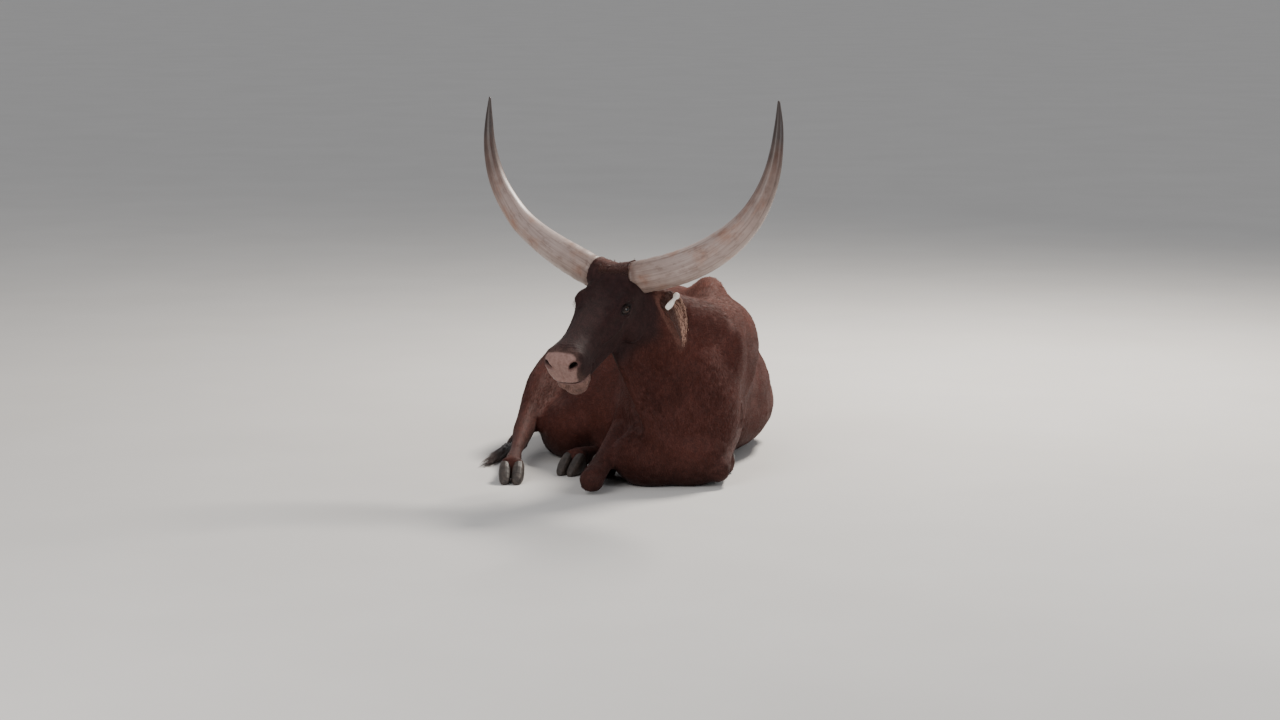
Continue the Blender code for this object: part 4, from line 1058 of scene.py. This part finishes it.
def coat_facts(points, normals):
    """Tufts per square metre, length and width of a tuft at each point."""
    local = to_head(points)
    x, y, z = points.T
    limb = np.full(len(points), 1e9)
    for line in LIMB_LINES:
        limb = np.minimum(limb, path_distance(points, line))
    legs = smooth_step(0.075, 0.055, limb) * smooth_step(0.22, 0.16, z)
    face = smooth_step(0.0, 0.06, local[:, 1]) * smooth_step(HEAD_UNDER, -0.21, local[:, 2])
    face = face * smooth_step(0.135, 0.115, np.abs(local[:, 0]))
    ear = ear_part(points) * (1 - face)
    hump = np.exp(-(((x - 0.10) / 0.14) ** 2 + ((y - 0.14) / 0.24) ** 2 + ((z - 0.66) / 0.14) ** 2))
    face_length = 0.0075 - 0.003 * smooth_step(0.20, 0.44, local[:, 1])
    facts = 44000.0, 0.0150 + 0.010 * hump, 0.0021
    for part, *fresh in ((legs, 70000, 0.0090, 0.0015), (face, 110000, face_length, 0.0010),
                         (ear, 90000, 0.0100, 0.0012)):
        facts = [fade(old, new, part) for old, new in zip(facts, fresh)]
    density, length, width = facts
    open_part = 1 - smooth_step(0.25, 0.55, bare_nose(local))
    for eye in EYES.values():
        a, b, h = eye_place(local, eye)
        open_part = open_part * np.where(h > -0.01, smooth_step(1.25, 1.6, slit_measure(a, b)), 1.0)
    rests = smooth_step(-0.75, -0.45, normals[:, 2]) + smooth_step(0.006, 0.020, z)
    density = density * open_part * np.clip(rests, 0, 1)
    for rows, side in ((HORN_R, -1), (HORN_L, 1)):
        table = np.array(rows)[:2]
        past_root = (points - HORN_MIDDLE) @ HORN_SIDE * side > table[0, 0] - 0.004
        density = density * ~((path_distance(points, horn_line(table, side)) < HORN_CLEAR) & past_root)
    return density, length, width


middles = corner.mean(1)
flat_normals = unit(np.cross(corner[:, 1] - corner[:, 0], corner[:, 2] - corner[:, 0]))
density, _, _ = coat_facts(middles, flat_normals)
weights = tri_area * density
tuft_total = int(weights.sum())
picked = rng.choice(tri_count, size=tuft_total, p=weights / weights.sum())
u, v = rng.random(tuft_total), rng.random(tuft_total)
over = u + v > 1
u[over], v[over] = 1 - u[over], 1 - v[over]
share = np.stack([1 - u - v, u, v], 1)[..., None]
roots = (skin_points[tri_verts[picked]] * share).sum(1)
root_normals = unit((skin_normals[tri_verts[picked]] * share).sum(1))
root_uv = (skin_uv[tri_loops[picked]] * share).sum(1)
print("tufts:", tuft_total, seconds())

# %% [markdown]
# ## The short coat
# Hair in a short coat lies nearly flat and clings together in small tufts. A tuft starts just under
# the skin, runs along the lie and lifts its tip by a few millimetres. Some are longer and stand out
# more, which breaks the outline softly.

# %% Lay the tufts
ROOT_DEPTH = 0.0005
_, tuft_length, tuft_width = coat_facts(roots, root_normals)
lie = lie_of_hair(roots, root_normals)
swing = rng.normal(0, 0.20, tuft_total) + 0.35 * wave_noise(roots, 26, 8)
sideways = unit(np.cross(root_normals, lie))
lie = lie * np.cos(swing)[:, None] + sideways * np.sin(swing)[:, None]
sideways = unit(np.cross(root_normals, lie))
tuft_length = tuft_length * rng.uniform(0.7, 1.3, tuft_total)
lift = rng.uniform(0.07, 0.17, tuft_total) + 0.05 * np.maximum(wave_noise(roots, 40, 9), 0)
RINGS = np.array((0.0, 1.0))
height = tuft_length[:, None] * lift[:, None] * RINGS - ROOT_DEPTH
path = roots[:, None] + lie[:, None] * (tuft_length[:, None] * RINGS)[..., None]
path = path + root_normals[:, None] * height[..., None]
path[..., 2] = np.maximum(path[..., 2], 0.0008)
wide = tuft_width[:, None] * (1 - RINGS) * rng.uniform(0.75, 1.25, tuft_total)[:, None]
tuft_colour = hide_colour_and_painted_light(roots, root_normals)
tuft_colour = tuft_colour * rng.uniform(0.78, 1.30, tuft_total)[:, None]
print("mean tuft length", round(float(tuft_length.mean()) * 1000, 1), "mm")

# %% Short coat in regions
HEAD_START, FRONT_END, RUMP_START, RIGHT_EDGE = -0.03, 0.16, 0.86, 0.02
local = to_head(roots)
is_head = (local[:, 1] > HEAD_START) & (local[:, 2] > HEAD_UNDER) & (np.abs(local[:, 0]) < 0.30)
is_front = (roots[:, 1] < FRONT_END) & ~is_head
is_rump = ~is_head & ~is_front & (roots[:, 1] > RUMP_START)
is_flank = ~is_head & ~is_front & ~is_rump
is_right = roots[:, 0] < RIGHT_EDGE
REGIONS = {
    "coat_head": is_head, "coat_front_right": is_front & is_right, "coat_front_left": is_front & ~is_right,
    "coat_rump": is_rump, "coat_flank_right": is_flank & is_right, "coat_flank_left": is_flank & ~is_right,
}
hair = Finish("short_hair", 0.72, Specular_IOR_Level=0.09, Sheen_Weight=0.02, Sheen_Roughness=0.40)
hair_fine = hair.span(hair.noise(900, 2, 0.6, hair.stretched((1.0, 0.2, 0.6))), 0.74, 1.24)
hair_patch = hair.span(hair.noise(7, 3, 0.55), 0.84, 1.16)
hair.colour(hair.times(hair.attribute("Tone", "Color"), hair_fine, hair_patch))
hair.roughness(hair.span(hair.noise(60), 0.66, 0.82))
for name, chosen in REGIONS.items():
    side = np.repeat(sideways[chosen][:, None], 2, 1)
    rise = np.repeat(root_normals[chosen][:, None], 2, 1)
    coat = strand_mesh(name, path[chosen], side, rise, wide[chosen], 0.30, root_uv[chosen],
                       tuft_colour[chosen], root_normals[chosen])
    hair.on(coat)
    print(name, int(chosen.sum()), "tufts", triangles(coat), "triangles", seconds())

# %% [markdown]
# ## Long hair
# The brush of the tail, the fuzz on the poll, the fringe of the ears and the lashes are long enough to
# be seen one by one. Each is a strand with more rings, which starts on its own line, drifts away from
# its neighbours and sags where it is not held up, but never below the floor.


# %% Strands along a path
def ring_frames(path, up):
    """Side and rise for every ring of strands that run along their paths."""
    way = np.empty_like(path)
    way[:, 1:-1] = path[:, 2:] - path[:, :-2]
    way[:, 0] = path[:, 1] - path[:, 0]
    way[:, -1] = path[:, -1] - path[:, -2]
    way = unit(way)
    side = unit(np.cross(way, up))
    return side, np.cross(side, way)


def nearest_uv(places):
    """The place on the skin's map that is nearest to each point."""
    spots = np.empty((len(places), 2))
    for k, place in enumerate(places):
        _, _, _, face = skin.closest_point_on_mesh(Vector(place))
        spots[k] = skin_uv[skin.data.polygons[face].loop_start]
    return spots


def taper(count, rings, start=0.7, full=0.35, tip=0.05):
    """Widths of the rings of each strand: they swell a little and then thin to the tip."""
    t = np.linspace(0, 1, rings)
    fall = np.clip((t - full) / (1 - full), 0, 1) ** 1.6
    shape = np.where(t < full, start + (1 - start) * t / full, 1 - (1 - tip) * fall)
    return np.tile(shape, (count, 1))


print("widths of a strand:", [round(float(w), 2) for w in taper(1, 5)[0]])

# %% Tail switch
SWITCH = np.array([(-0.620, 0.540, 0.0145), (-0.622, 0.460, 0.015), (-0.632, 0.360, 0.016), (-0.660, 0.225, 0.013),
                   (-0.690, 0.085, 0.006)])


def along_switch(t):
    """Points on the switch's middle line, t from 0 to 1."""
    place = np.clip(t, 0, 1) * (len(SWITCH) - 1)
    index = np.minimum(place.astype(int), len(SWITCH) - 2)
    part = (place - index)[..., None]
    return SWITCH[index] * (1 - part) + SWITCH[index + 1] * part


count, rings = 520, 9
begin = rng.uniform(0.0, 0.55, count)
reach = rng.uniform(0.35, 0.50, count)
t = begin[:, None] + reach[:, None] * np.linspace(0, 1, rings)
middle = along_switch(t)
angle = rng.uniform(0, 2 * math.pi, count)
spread = np.stack([np.cos(angle), np.zeros(count), np.sin(angle) * 0.75], 1) * rng.uniform(0.2, 1.0, count)[:, None]
swell = 0.010 + 0.010 * np.sin(np.clip(t, 0, 1) * math.pi * 0.9)
switch_path = middle + spread[:, None] * swell[..., None]
drift = rng.normal(0, 0.010, count)[:, None] * np.linspace(0, 1, rings) ** 1.5
ripple = 0.0022 * np.sin(t * 34 + angle[:, None] * 3)
switch_path[..., 0] += drift + ripple
switch_path[..., 2] = np.maximum(switch_path[..., 2], 0.0012)
side, rise = ring_frames(switch_path, np.array((0, 0, 1.0)))
wide = 0.0030 * taper(count, rings) * rng.uniform(0.7, 1.3, count)[:, None]
dark = np.array((0.040, 0.020, 0.016)) * rng.uniform(0.6, 1.8, count)[:, None]
tail_uv = nearest_uv(switch_path[:, 0])
switch = strand_mesh("hair_switch", switch_path, side, rise, wide, 0.4, tail_uv, dark)
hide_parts("tail_switch")
print("switch:", triangles(switch), "triangles")

# %% Poll tuft
count, rings = 6200, 4
across = rng.uniform(-0.066, 0.058, count)
along = rng.uniform(-0.046, 0.070, count)
start = from_head(np.stack([across, along, np.full(count, 0.03)], 1))
face_way = np.array(FACE_WAY)
for k in range(count):
    hit, place, _, _ = skin.ray_cast(Vector(start[k]), -FACE_WAY)
    start[k] = np.array(place) - face_way * 0.002 if hit else start[k] - face_way * 0.05
part_way = np.tanh((along + 0.020) / 0.014)
lean = np.stack([across * 6 + rng.normal(0, 0.28, count), 0.85 * part_way + rng.normal(0, 0.26, count),
                 rng.uniform(0.10, 0.38, count) + 0.35 * (1 - part_way ** 2)], 1)
lean = unit(lean @ np.array(TURN)[:3, :3].T)
length = rng.uniform(0.011, 0.024, count) * smooth_step(0.085, 0.030, along)
t = np.linspace(0, 1, rings)
curl_side = unit(np.cross(lean, face_way))
curl = rng.choice((-1, 1), count)[:, None] * 0.0020 * np.sin(t * rng.uniform(2.0, 4.0, count)[:, None])
poll_path = start[:, None] + lean[:, None] * (length[:, None] * t)[..., None] + curl_side[:, None] * curl[..., None]
poll_path = poll_path - face_way * (0.30 * length[:, None] * t ** 2)[..., None]
side, rise = ring_frames(poll_path, face_way)
wide = 0.0012 * taper(count, rings) * rng.uniform(0.7, 1.3, count)[:, None]
red = np.array((0.110, 0.038, 0.027)) * rng.uniform(0.75, 1.30, count)[:, None]
red = red * (1 - 0.55 * smooth_step(0.030, 0.065, along))[:, None]
poll = strand_mesh("hair_poll", poll_path, side, rise, wide, 0.4, nearest_uv(poll_path[:, 0]), red)
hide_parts("poll_tuft")
print("poll:", triangles(poll), "triangles")

# %% Ear fringe and lashes
EAR_STEPS, FRINGE_TRIES, LASHES = 23, 850, 34
fringe_path, fringe_wide, fringe_colour = [], [], []
rings = 5
t = np.linspace(0, 1, rings)
for side_sign, tree in zip((1, -1), ear_trees):
    middle = ear_path(side_sign, EAR_STEPS + 1)
    way = ear_way(side_sign)
    for _ in range(FRINGE_TRIES):
        spot = rng.uniform(0.20, 0.98)
        step = int(spot * EAR_STEPS)
        ahead = unit(middle[min(step + 1, EAR_STEPS)] - middle[step - 1])
        edge = unit(np.cross(ahead, way))
        edge = edge if edge[0] * side_sign > 0 else -edge
        reach = rng.uniform(-0.9, 1.1)
        half_ear = 0.034 * math.sin(math.pi * min(0.16 + 0.80 * spot, 1.0))
        aim = middle[step] + edge * reach * half_ear + way * 0.040
        start_at = tree.ray_cast(Vector(aim), Vector(-way), 0.08)[0]
        if start_at is None:
            continue
        start_at = np.array(start_at)
        lean = unit(ahead * 0.95 + way * rng.uniform(0.02, 0.28) + edge * rng.uniform(-0.3, 0.3))
        long = rng.uniform(0.010, 0.021)
        sag = np.array((0, 0, -1.0)) * 0.25 * long
        fringe_path.append(start_at - way * 0.003 + lean * (long * t)[:, None] + sag * (t ** 2)[:, None])
        fringe_wide.append(0.0011 * rng.uniform(0.7, 1.3))
        # the edge of the ear fringe: pale hair with painted sunlight in it
        pale = float(smooth_step(-0.25, 0.25, np.array(reach)) * smooth_step(0.22, 0.40, np.array(spot)))
        fringe_colour.append(fade(EAR_INSIDE, EAR_HAIR_PALE_AND_SUNLIT, pale) * rng.uniform(0.7, 1.3))
for centre, out, along, across in EYES.values():
    for spot in np.linspace(-0.85, 0.85, LASHES):
        a = SLIT_HALF * spot
        b = SLIT_RISE * (1 - abs(spot) ** SLIT_POWER) ** (1 / SLIT_POWER)
        h = math.sqrt(EYE_RADIUS ** 2 - a * a - b * b) + 0.0022
        begin_at = centre + along * a + across * (b + 0.0026) + out * (h + 0.0010)
        lean = unit(out * 0.9 + across * 0.15 + along * (0.45 * spot))
        long = 0.013 * (1 - 0.35 * spot * spot) * rng.uniform(0.8, 1.15)
        curve = begin_at + np.outer(long * t, lean) - np.outer(0.34 * long * np.sin(t * 2.4), across)
        fringe_path.append(from_head(curve))
        fringe_wide.append(0.0006)
        fringe_colour.append(EYE_RIM * 1.2)
fringe_path = np.array(fringe_path)
fringe_wide = taper(len(fringe_path), rings) * np.array(fringe_wide)[:, None]
side, rise = ring_frames(fringe_path, face_way)
fringe = strand_mesh("hair_fringe", fringe_path, side, rise, fringe_wide, 0.4,
                     nearest_uv(fringe_path[:, 0]), np.array(fringe_colour))
print("fringe:", triangles(fringe), "triangles", seconds())

# %% Long hair's finish
long_hair = Finish("long_hair", 0.46, Specular_IOR_Level=0.45, Sheen_Weight=0.08, Sheen_Roughness=0.40)
long_streak = long_hair.noise(700, 2, 0.6, long_hair.stretched((1, 0.25, 0.6)))
long_hair.colour(long_hair.times(long_hair.attribute("Tone", "Color"), long_hair.span(long_streak, 0.66, 1.35)))
long_hair.roughness(long_hair.span(long_hair.noise(90), 0.38, 0.58))
for piece in (switch, poll, fringe):
    long_hair.on(piece)
print("long hair finish has", len(long_hair.tree.nodes), "nodes")

# %% [markdown]
# ## Horns
# Horn grows in rings from a bony core, so a great horn is rough and ringed near its root, smooth and
# pale in its middle and dark where it was first grown, at the tip. One circle of edges is extruded
# along the centreline, station by station, and scaled as the horn thins. A curve with a bevel would
# do too, but this way gives a map whose v runs along the horn for the bands of colour.

# %% Sweep the horns
HORN_SIDES, HORN_STEPS = 48, 150
HORN_INSET, THINNEST = 0.0006, 0.0006
SEAM_HINT = (0.0, 1.0, 0.15)


def smooth_rows(rows, count):
    """Rows resampled along a smooth curve through them."""
    rows = np.array(rows, float)
    padded = np.vstack([2 * rows[0] - rows[1], rows, 2 * rows[-1] - rows[-2]])
    out = []
    for place in np.linspace(0, len(rows) - 1, count):
        index = min(int(place), len(rows) - 2)
        t = place - index
        a, b, c, d = padded[index:index + 4]
        square, cube = 2 * a - 5 * b + 4 * c - d, 3 * b - a - 3 * c + d
        out.append(0.5 * (2 * b + (c - a) * t + square * t * t + cube * t ** 3))
    return np.array(out)


def make_horn(name, rows, side, seed):
    """A horn swept along its middle line, with growth rings, fine grain and its maps."""
    table = smooth_rows(rows, HORN_STEPS)
    middle = horn_line(table, side)
    radius = table[:, 3] - HORN_INSET
    draw = np.random.default_rng(seed)
    along = np.linspace(0, 1, HORN_STEPS)
    rough = smooth_step(0.34, 0.02, along)
    rings = 0.0011 * rough * np.sin(along * 150 + 2.0 * np.sin(along * 23))
    rings = rings + 0.0006 * rough * draw.normal(0, 0.6, HORN_STEPS)
    bm = bmesh.new()
    for layer_name in ("OFBake", "Flow"):
        bm.loops.layers.uv.new(layer_name)
    ring = bmesh.ops.create_circle(bm, cap_ends=False, segments=HORN_SIDES, radius=1.0)["verts"]
    edges = list({e for v in ring for e in v.link_edges})
    unit_ring = [v.co.copy() for v in ring]
    for k in range(HORN_STEPS):
        if k:
            made = bmesh.ops.extrude_edge_only(bm, edges=edges)["geom"]
            fresh = [g for g in made if isinstance(g, bmesh.types.BMVert)]
            edges = [g for g in made if isinstance(g, bmesh.types.BMEdge) and all(v in fresh for v in g.verts)]
            above = {next(e.other_vert(v) for e in v.link_edges if e.other_vert(v) not in fresh): v for v in fresh}
            ring = [above[v] for v in ring]
        way = Vector(middle[min(k + 1, HORN_STEPS - 1)] - middle[max(k - 1, 0)]).normalized()
        x = way.cross(Vector(SEAM_HINT)).normalized()
        y = x.cross(way)
        for v, flat in zip(ring, unit_ring):
            angle = math.atan2(flat.y, flat.x)
            grain = math.sin(angle * 5 + 2.2 * along[k] + seed) + 0.6 * math.sin(angle * 11 - 5 * along[k])
            size = radius[k] + rings[k] + 0.00045 * grain * min(1.0, radius[k] / 0.03)
            v.co = Vector(middle[k]) + (x * flat.x + y * flat.y) * max(size, THINNEST)
    bmesh.ops.contextual_create(bm, geom=edges)
    bmesh.ops.contextual_create(bm, geom=[e for e in bm.edges if e.is_boundary])
    bmesh.ops.recalc_face_normals(bm, faces=bm.faces[:])
    mesh = mesh_of(name, bm)
    shade_smooth(mesh)
    points = read_points(mesh)
    tree = KDTree(len(middle))
    for k, place in enumerate(middle):
        tree.insert(place, k)
    tree.balance()
    nearest = np.array([tree.find(Vector(p))[1] for p in points])
    v_along = along[nearest]
    ways = np.gradient(middle, axis=0)
    x_axis = unit(np.cross(unit(ways), SEAM_HINT))
    y_axis = np.cross(x_axis, unit(ways))
    offset = points - middle[nearest]
    angle = np.arctan2((offset * y_axis[nearest]).sum(1), (offset * x_axis[nearest]).sum(1)) / (2 * math.pi) + 0.5
    loops = np.empty(len(mesh.loops), np.int32)
    mesh.loops.foreach_get("vertex_index", loops)
    loop_angle = angle[loops]
    for face in mesh.polygons:
        part = loop_angle[face.loop_start:face.loop_start + face.loop_total]
        if part.max() - part.min() > 0.5:
            part[part < 0.5] += 1.0
    spots = np.stack([loop_angle * 0.98, v_along[loops]], 1)
    mesh.uv_layers["Flow"].data.foreach_set("uv", spots.ravel())
    mesh.uv_layers["OFBake"].data.foreach_set("uv", (spots * (0.9, 0.98) + 0.01).ravel())
    store_value(mesh, "Along", v_along)
    obj = linked(name, mesh)
    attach(obj, "root")
    return obj


horn_right = make_horn("horn_right", HORN_R, -1, 3)
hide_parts("horn_R")
horn_left = make_horn("horn_left", HORN_L, 1, 4)
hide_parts("horn_L")
print("horns:", triangles(horn_right) + triangles(horn_left), "triangles", seconds())

# %% [markdown]
# ## The horns' finish
# Pale grey ivory with a pink cast, long brown fibres, small stains and a dark tip. The fibres run
# along the horn, so their noise is stretched on the map Flow and not on the world's axes.

# %% Horn material
horn = Finish("horn_surface", 0.42, Specular_IOR_Level=0.45, Coat_Weight=0.10, Coat_Roughness=0.35)
flow_map = horn.node("UVMap", "UV", {}, uv_map="Flow")


def flowing(scale, detail, rough):
    """A noise on the map that runs along the horn."""
    return horn.noise(1.0, detail, rough, horn.stretched(scale, flow_map))


horn_along = horn.attribute("Along", "Fac")
wobble = horn.math("MULTIPLY", horn.math("SUBTRACT", horn.noise(9, 4, 0.6), 0.5), 0.30)
band = horn.ramp(horn.math("ADD", horn_along, wobble), [
    (0.02, (0.130, 0.082, 0.066)), (0.10, (0.265, 0.190, 0.162)), (0.26, (0.350, 0.272, 0.246)),
    (0.52, (0.300, 0.224, 0.200)), (0.70, (0.120, 0.076, 0.062)), (0.84, (0.036, 0.022, 0.018))])
fibres = flowing((46, 2.2, 1), 4, 0.62)
fibre_tone = horn.ramp(fibres, [(0.28, (0.52, 0.44, 0.40)), (0.50, 1.0), (0.74, (1.20, 1.17, 1.14))])
blotches = horn.ramp(flowing((4.0, 7.0, 1), 4, 0.6),
                     [(0.50, 1.0), (0.66, (0.86, 0.60, 0.46)), (0.80, (0.60, 0.40, 0.30))])
stains = horn.ramp(flowing((14, 16, 1), 5, 0.7), [(0.52, 1.0), (0.72, (0.44, 0.34, 0.30))])
fibred = horn.times(band, fibre_tone, factor=0.85)
horn.colour(horn.times(horn.times(fibred, blotches, factor=0.80), stains, factor=0.75))
horn.roughness(horn.span(fibres, 0.52, 0.34))
ring_mask = horn.ramp(horn_along, [(0.05, 1.0), (0.40, 0.12)])
horn.bump(horn.math("MULTIPLY", flowing((2.5, 95, 1), 3, 0.6), ring_mask), 0.5, 0.0030)
horn.bump(fibres, 0.35, 0.0012)
for piece in (horn_right, horn_left):
    horn.on(piece)
print("horn finish has", len(horn.tree.nodes), "nodes")

# %% [markdown]
# ## Eyes
# A cow's eye is dark brown with a wide lying pupil, and wet. A ball with a fine mesh is enough, if the
# attribute Gaze gives each point its place across the eye: the material draws iris and pupil from it.

# %% Eyeballs
wet = Finish("wet_eye", 0.12, Specular_IOR_Level=0.20, Coat_Weight=0.30, Coat_Roughness=0.03)
gaze = wet.attribute("Gaze", "Vector")


def round_distance(scale):
    """How far a place is from the middle of the eye, on a stretched circle."""
    return wet.node("VectorMath", "Value", {0: wet.stretched(scale, gaze)}, operation="LENGTH")


iris = wet.ramp(round_distance((1, 1, 0)), [(0.35, (0.030, 0.013, 0.007)), (0.66, (0.016, 0.008, 0.006)),
                                            (0.82, (0.006, 0.004, 0.004)), (0.95, (0.045, 0.028, 0.024))])
pupil = wet.ramp(round_distance((1.0, 2.1, 0)), [(0.40, 0.05), (0.46, 1.0)])
wet.colour(wet.times(iris, wet.span(wet.noise(240, 3), 0.6, 1.5), pupil))
for name, eye in EYES.items():
    centre, out, along, across = eye
    bm = bmesh.new()
    bmesh.ops.create_uvsphere(bm, u_segments=48, v_segments=32, radius=EYE_RADIUS)
    axes = Matrix((along, across, out)).transposed().to_4x4()
    bmesh.ops.transform(bm, matrix=HEAD @ Matrix.Translation(centre) @ axes, verts=bm.verts[:])
    bmesh.ops.recalc_face_normals(bm, faces=bm.faces[:])
    ball = linked("eye_ball_" + name, mesh_of("eye_ball_" + name, bm))
    shade_smooth(ball.data)
    places = np.stack(eye_place(to_head(read_points(ball.data)), eye), 1) / EYE_RADIUS
    store_value(ball.data, "Gaze", places, "FLOAT_VECTOR")
    wet.on(ball)
    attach(ball, "root")
    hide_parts("eye_" + name)
print("eyes", seconds())

# %% [markdown]
# ## Hooves and tag
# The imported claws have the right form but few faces. A welded copy gets a fine voxel surface, which is
# smoothed a little, and growth rings come from bump. The plain tag in the left ear is made in the same
# way, from finer voxels.


# %% Rounded copies
def rounded_copy(name, nodes, voxel, rounds):
    """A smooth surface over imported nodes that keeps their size."""
    obj = merged_copy(name, nodes, 0.0003)
    shape_with(obj, "REMESH", mode="VOXEL", voxel_size=voxel)
    shape_with(obj, "SMOOTH", factor=0.5, iterations=rounds)
    settle(obj)
    shade_smooth(obj.data)
    points = read_points(obj.data)
    points[:, 2] = np.maximum(points[:, 2], 0.0)
    write_points(obj.data, points)
    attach(obj, "root")
    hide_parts(*nodes)
    return obj


CLAW_VOXEL, TAG_VOXEL = 0.0022, 0.0011
hoof = Finish("hoof_horn", 0.5, Specular_IOR_Level=0.4)
hoof_streak = hoof.noise(60, 4, 0.6, hoof.stretched((1, 0.25, 1)))
hoof_rings = hoof.noise(210, 2, 0.5, hoof.stretched((0.10, 1.0, 0.10)))
hoof_base = hoof.ramp(hoof_streak, [
    (0.28, (0.022, 0.017, 0.016)), (0.55, (0.054, 0.042, 0.037)), (0.80, (0.110, 0.086, 0.072))])
dust = hoof.ramp(hoof.noise(34, 5, 0.7), [(0.50, (0.75, 0.72, 0.70)), (0.76, (1.5, 1.36, 1.2))])
hoof.colour(hoof.times(hoof_base, dust, factor=0.8))
hoof.roughness(hoof.span(hoof_rings, 0.62, 0.42))
hoof.bump(hoof_rings, 0.55, 0.0016)
hoof.bump(hoof_streak, 0.30, 0.0010)
for foot in ("fore_L", "fore_R", "hind_L", "hind_R"):
    for part in ("in", "out"):
        claw = rounded_copy(f"hoof_{foot}_{part}", [f"claw_{foot}_{part}"], CLAW_VOXEL, 3)
        hoof.on(claw)
print("claw:", triangles(claw), "triangles", seconds())

# %% Ear tag
tag = rounded_copy("tag_plain", ["ear_tag"], TAG_VOXEL, 2)
plastic = Finish("tag_plastic", 0.45, Specular_IOR_Level=0.4, Subsurface_Weight=0.05)
yellowed = plastic.noise(90, 4, 0.6)
plastic.colour(plastic.ramp(yellowed, [(0.32, (0.640, 0.580, 0.510)), (0.60, (0.820, 0.780, 0.720))]))
plastic.roughness(plastic.span(plastic.noise(160, 3), 0.38, 0.58))
plastic.bump(plastic.noise(500, 2), 0.2, 0.0004)
plastic.on(tag)
print("tag:", triangles(tag), "triangles", seconds())

# %% [markdown]
# ## Floor and light
# A plain pale floor and three large soft lamps, as in a studio. The strongest comes from behind on the
# cow's left, like the sun in the photograph, so that the back and the neck get a bright rim.

# %% Stage
bm = bmesh.new()
bmesh.ops.create_grid(bm, x_segments=2, y_segments=2, size=150.0)
floor = linked("floor", mesh_of("floor", bm))
pale = Finish("floor_pale", 0.85)
pale.colour(pale.span(pale.noise(1.5, 3), (0.60, 0.58, 0.56), (0.63, 0.61, 0.59)))
pale.on(floor)


def lamp(name, place, aim, size, watts, colour):
    data = bpy.data.lights.new(name, "AREA")
    data.shape = "DISK"
    data.size = size
    data.energy = watts
    data.color = colour
    obj = bpy.data.objects.new(name, data)
    obj.location = place
    obj.rotation_euler = (Vector(aim) - Vector(place)).to_track_quat("-Z", "Y").to_euler()
    scene.collection.objects.link(obj)


lamp("key", (2.2, 3.0, 4.4), (0.0, 0.3, 0.4), 1.4, 520, (1.0, 0.94, 0.86))
lamp("front", (-2.6, -4.4, 3.0), (-0.1, 0.0, 0.4), 3.0, 130, (1.0, 0.98, 0.96))
lamp("side", (3.6, -3.0, 2.2), (0.0, 0.2, 0.3), 2.6, 60, (0.94, 0.97, 1.0))
world = bpy.data.worlds.new("studio")
world.use_nodes = True
world.node_tree.nodes["Background"].inputs["Color"].default_value = (0.80, 0.82, 0.85, 1.0)
world.node_tree.nodes["Background"].inputs["Strength"].default_value = 0.55
scene.world = world
print("lamps placed")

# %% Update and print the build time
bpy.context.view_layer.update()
print("built in", seconds())
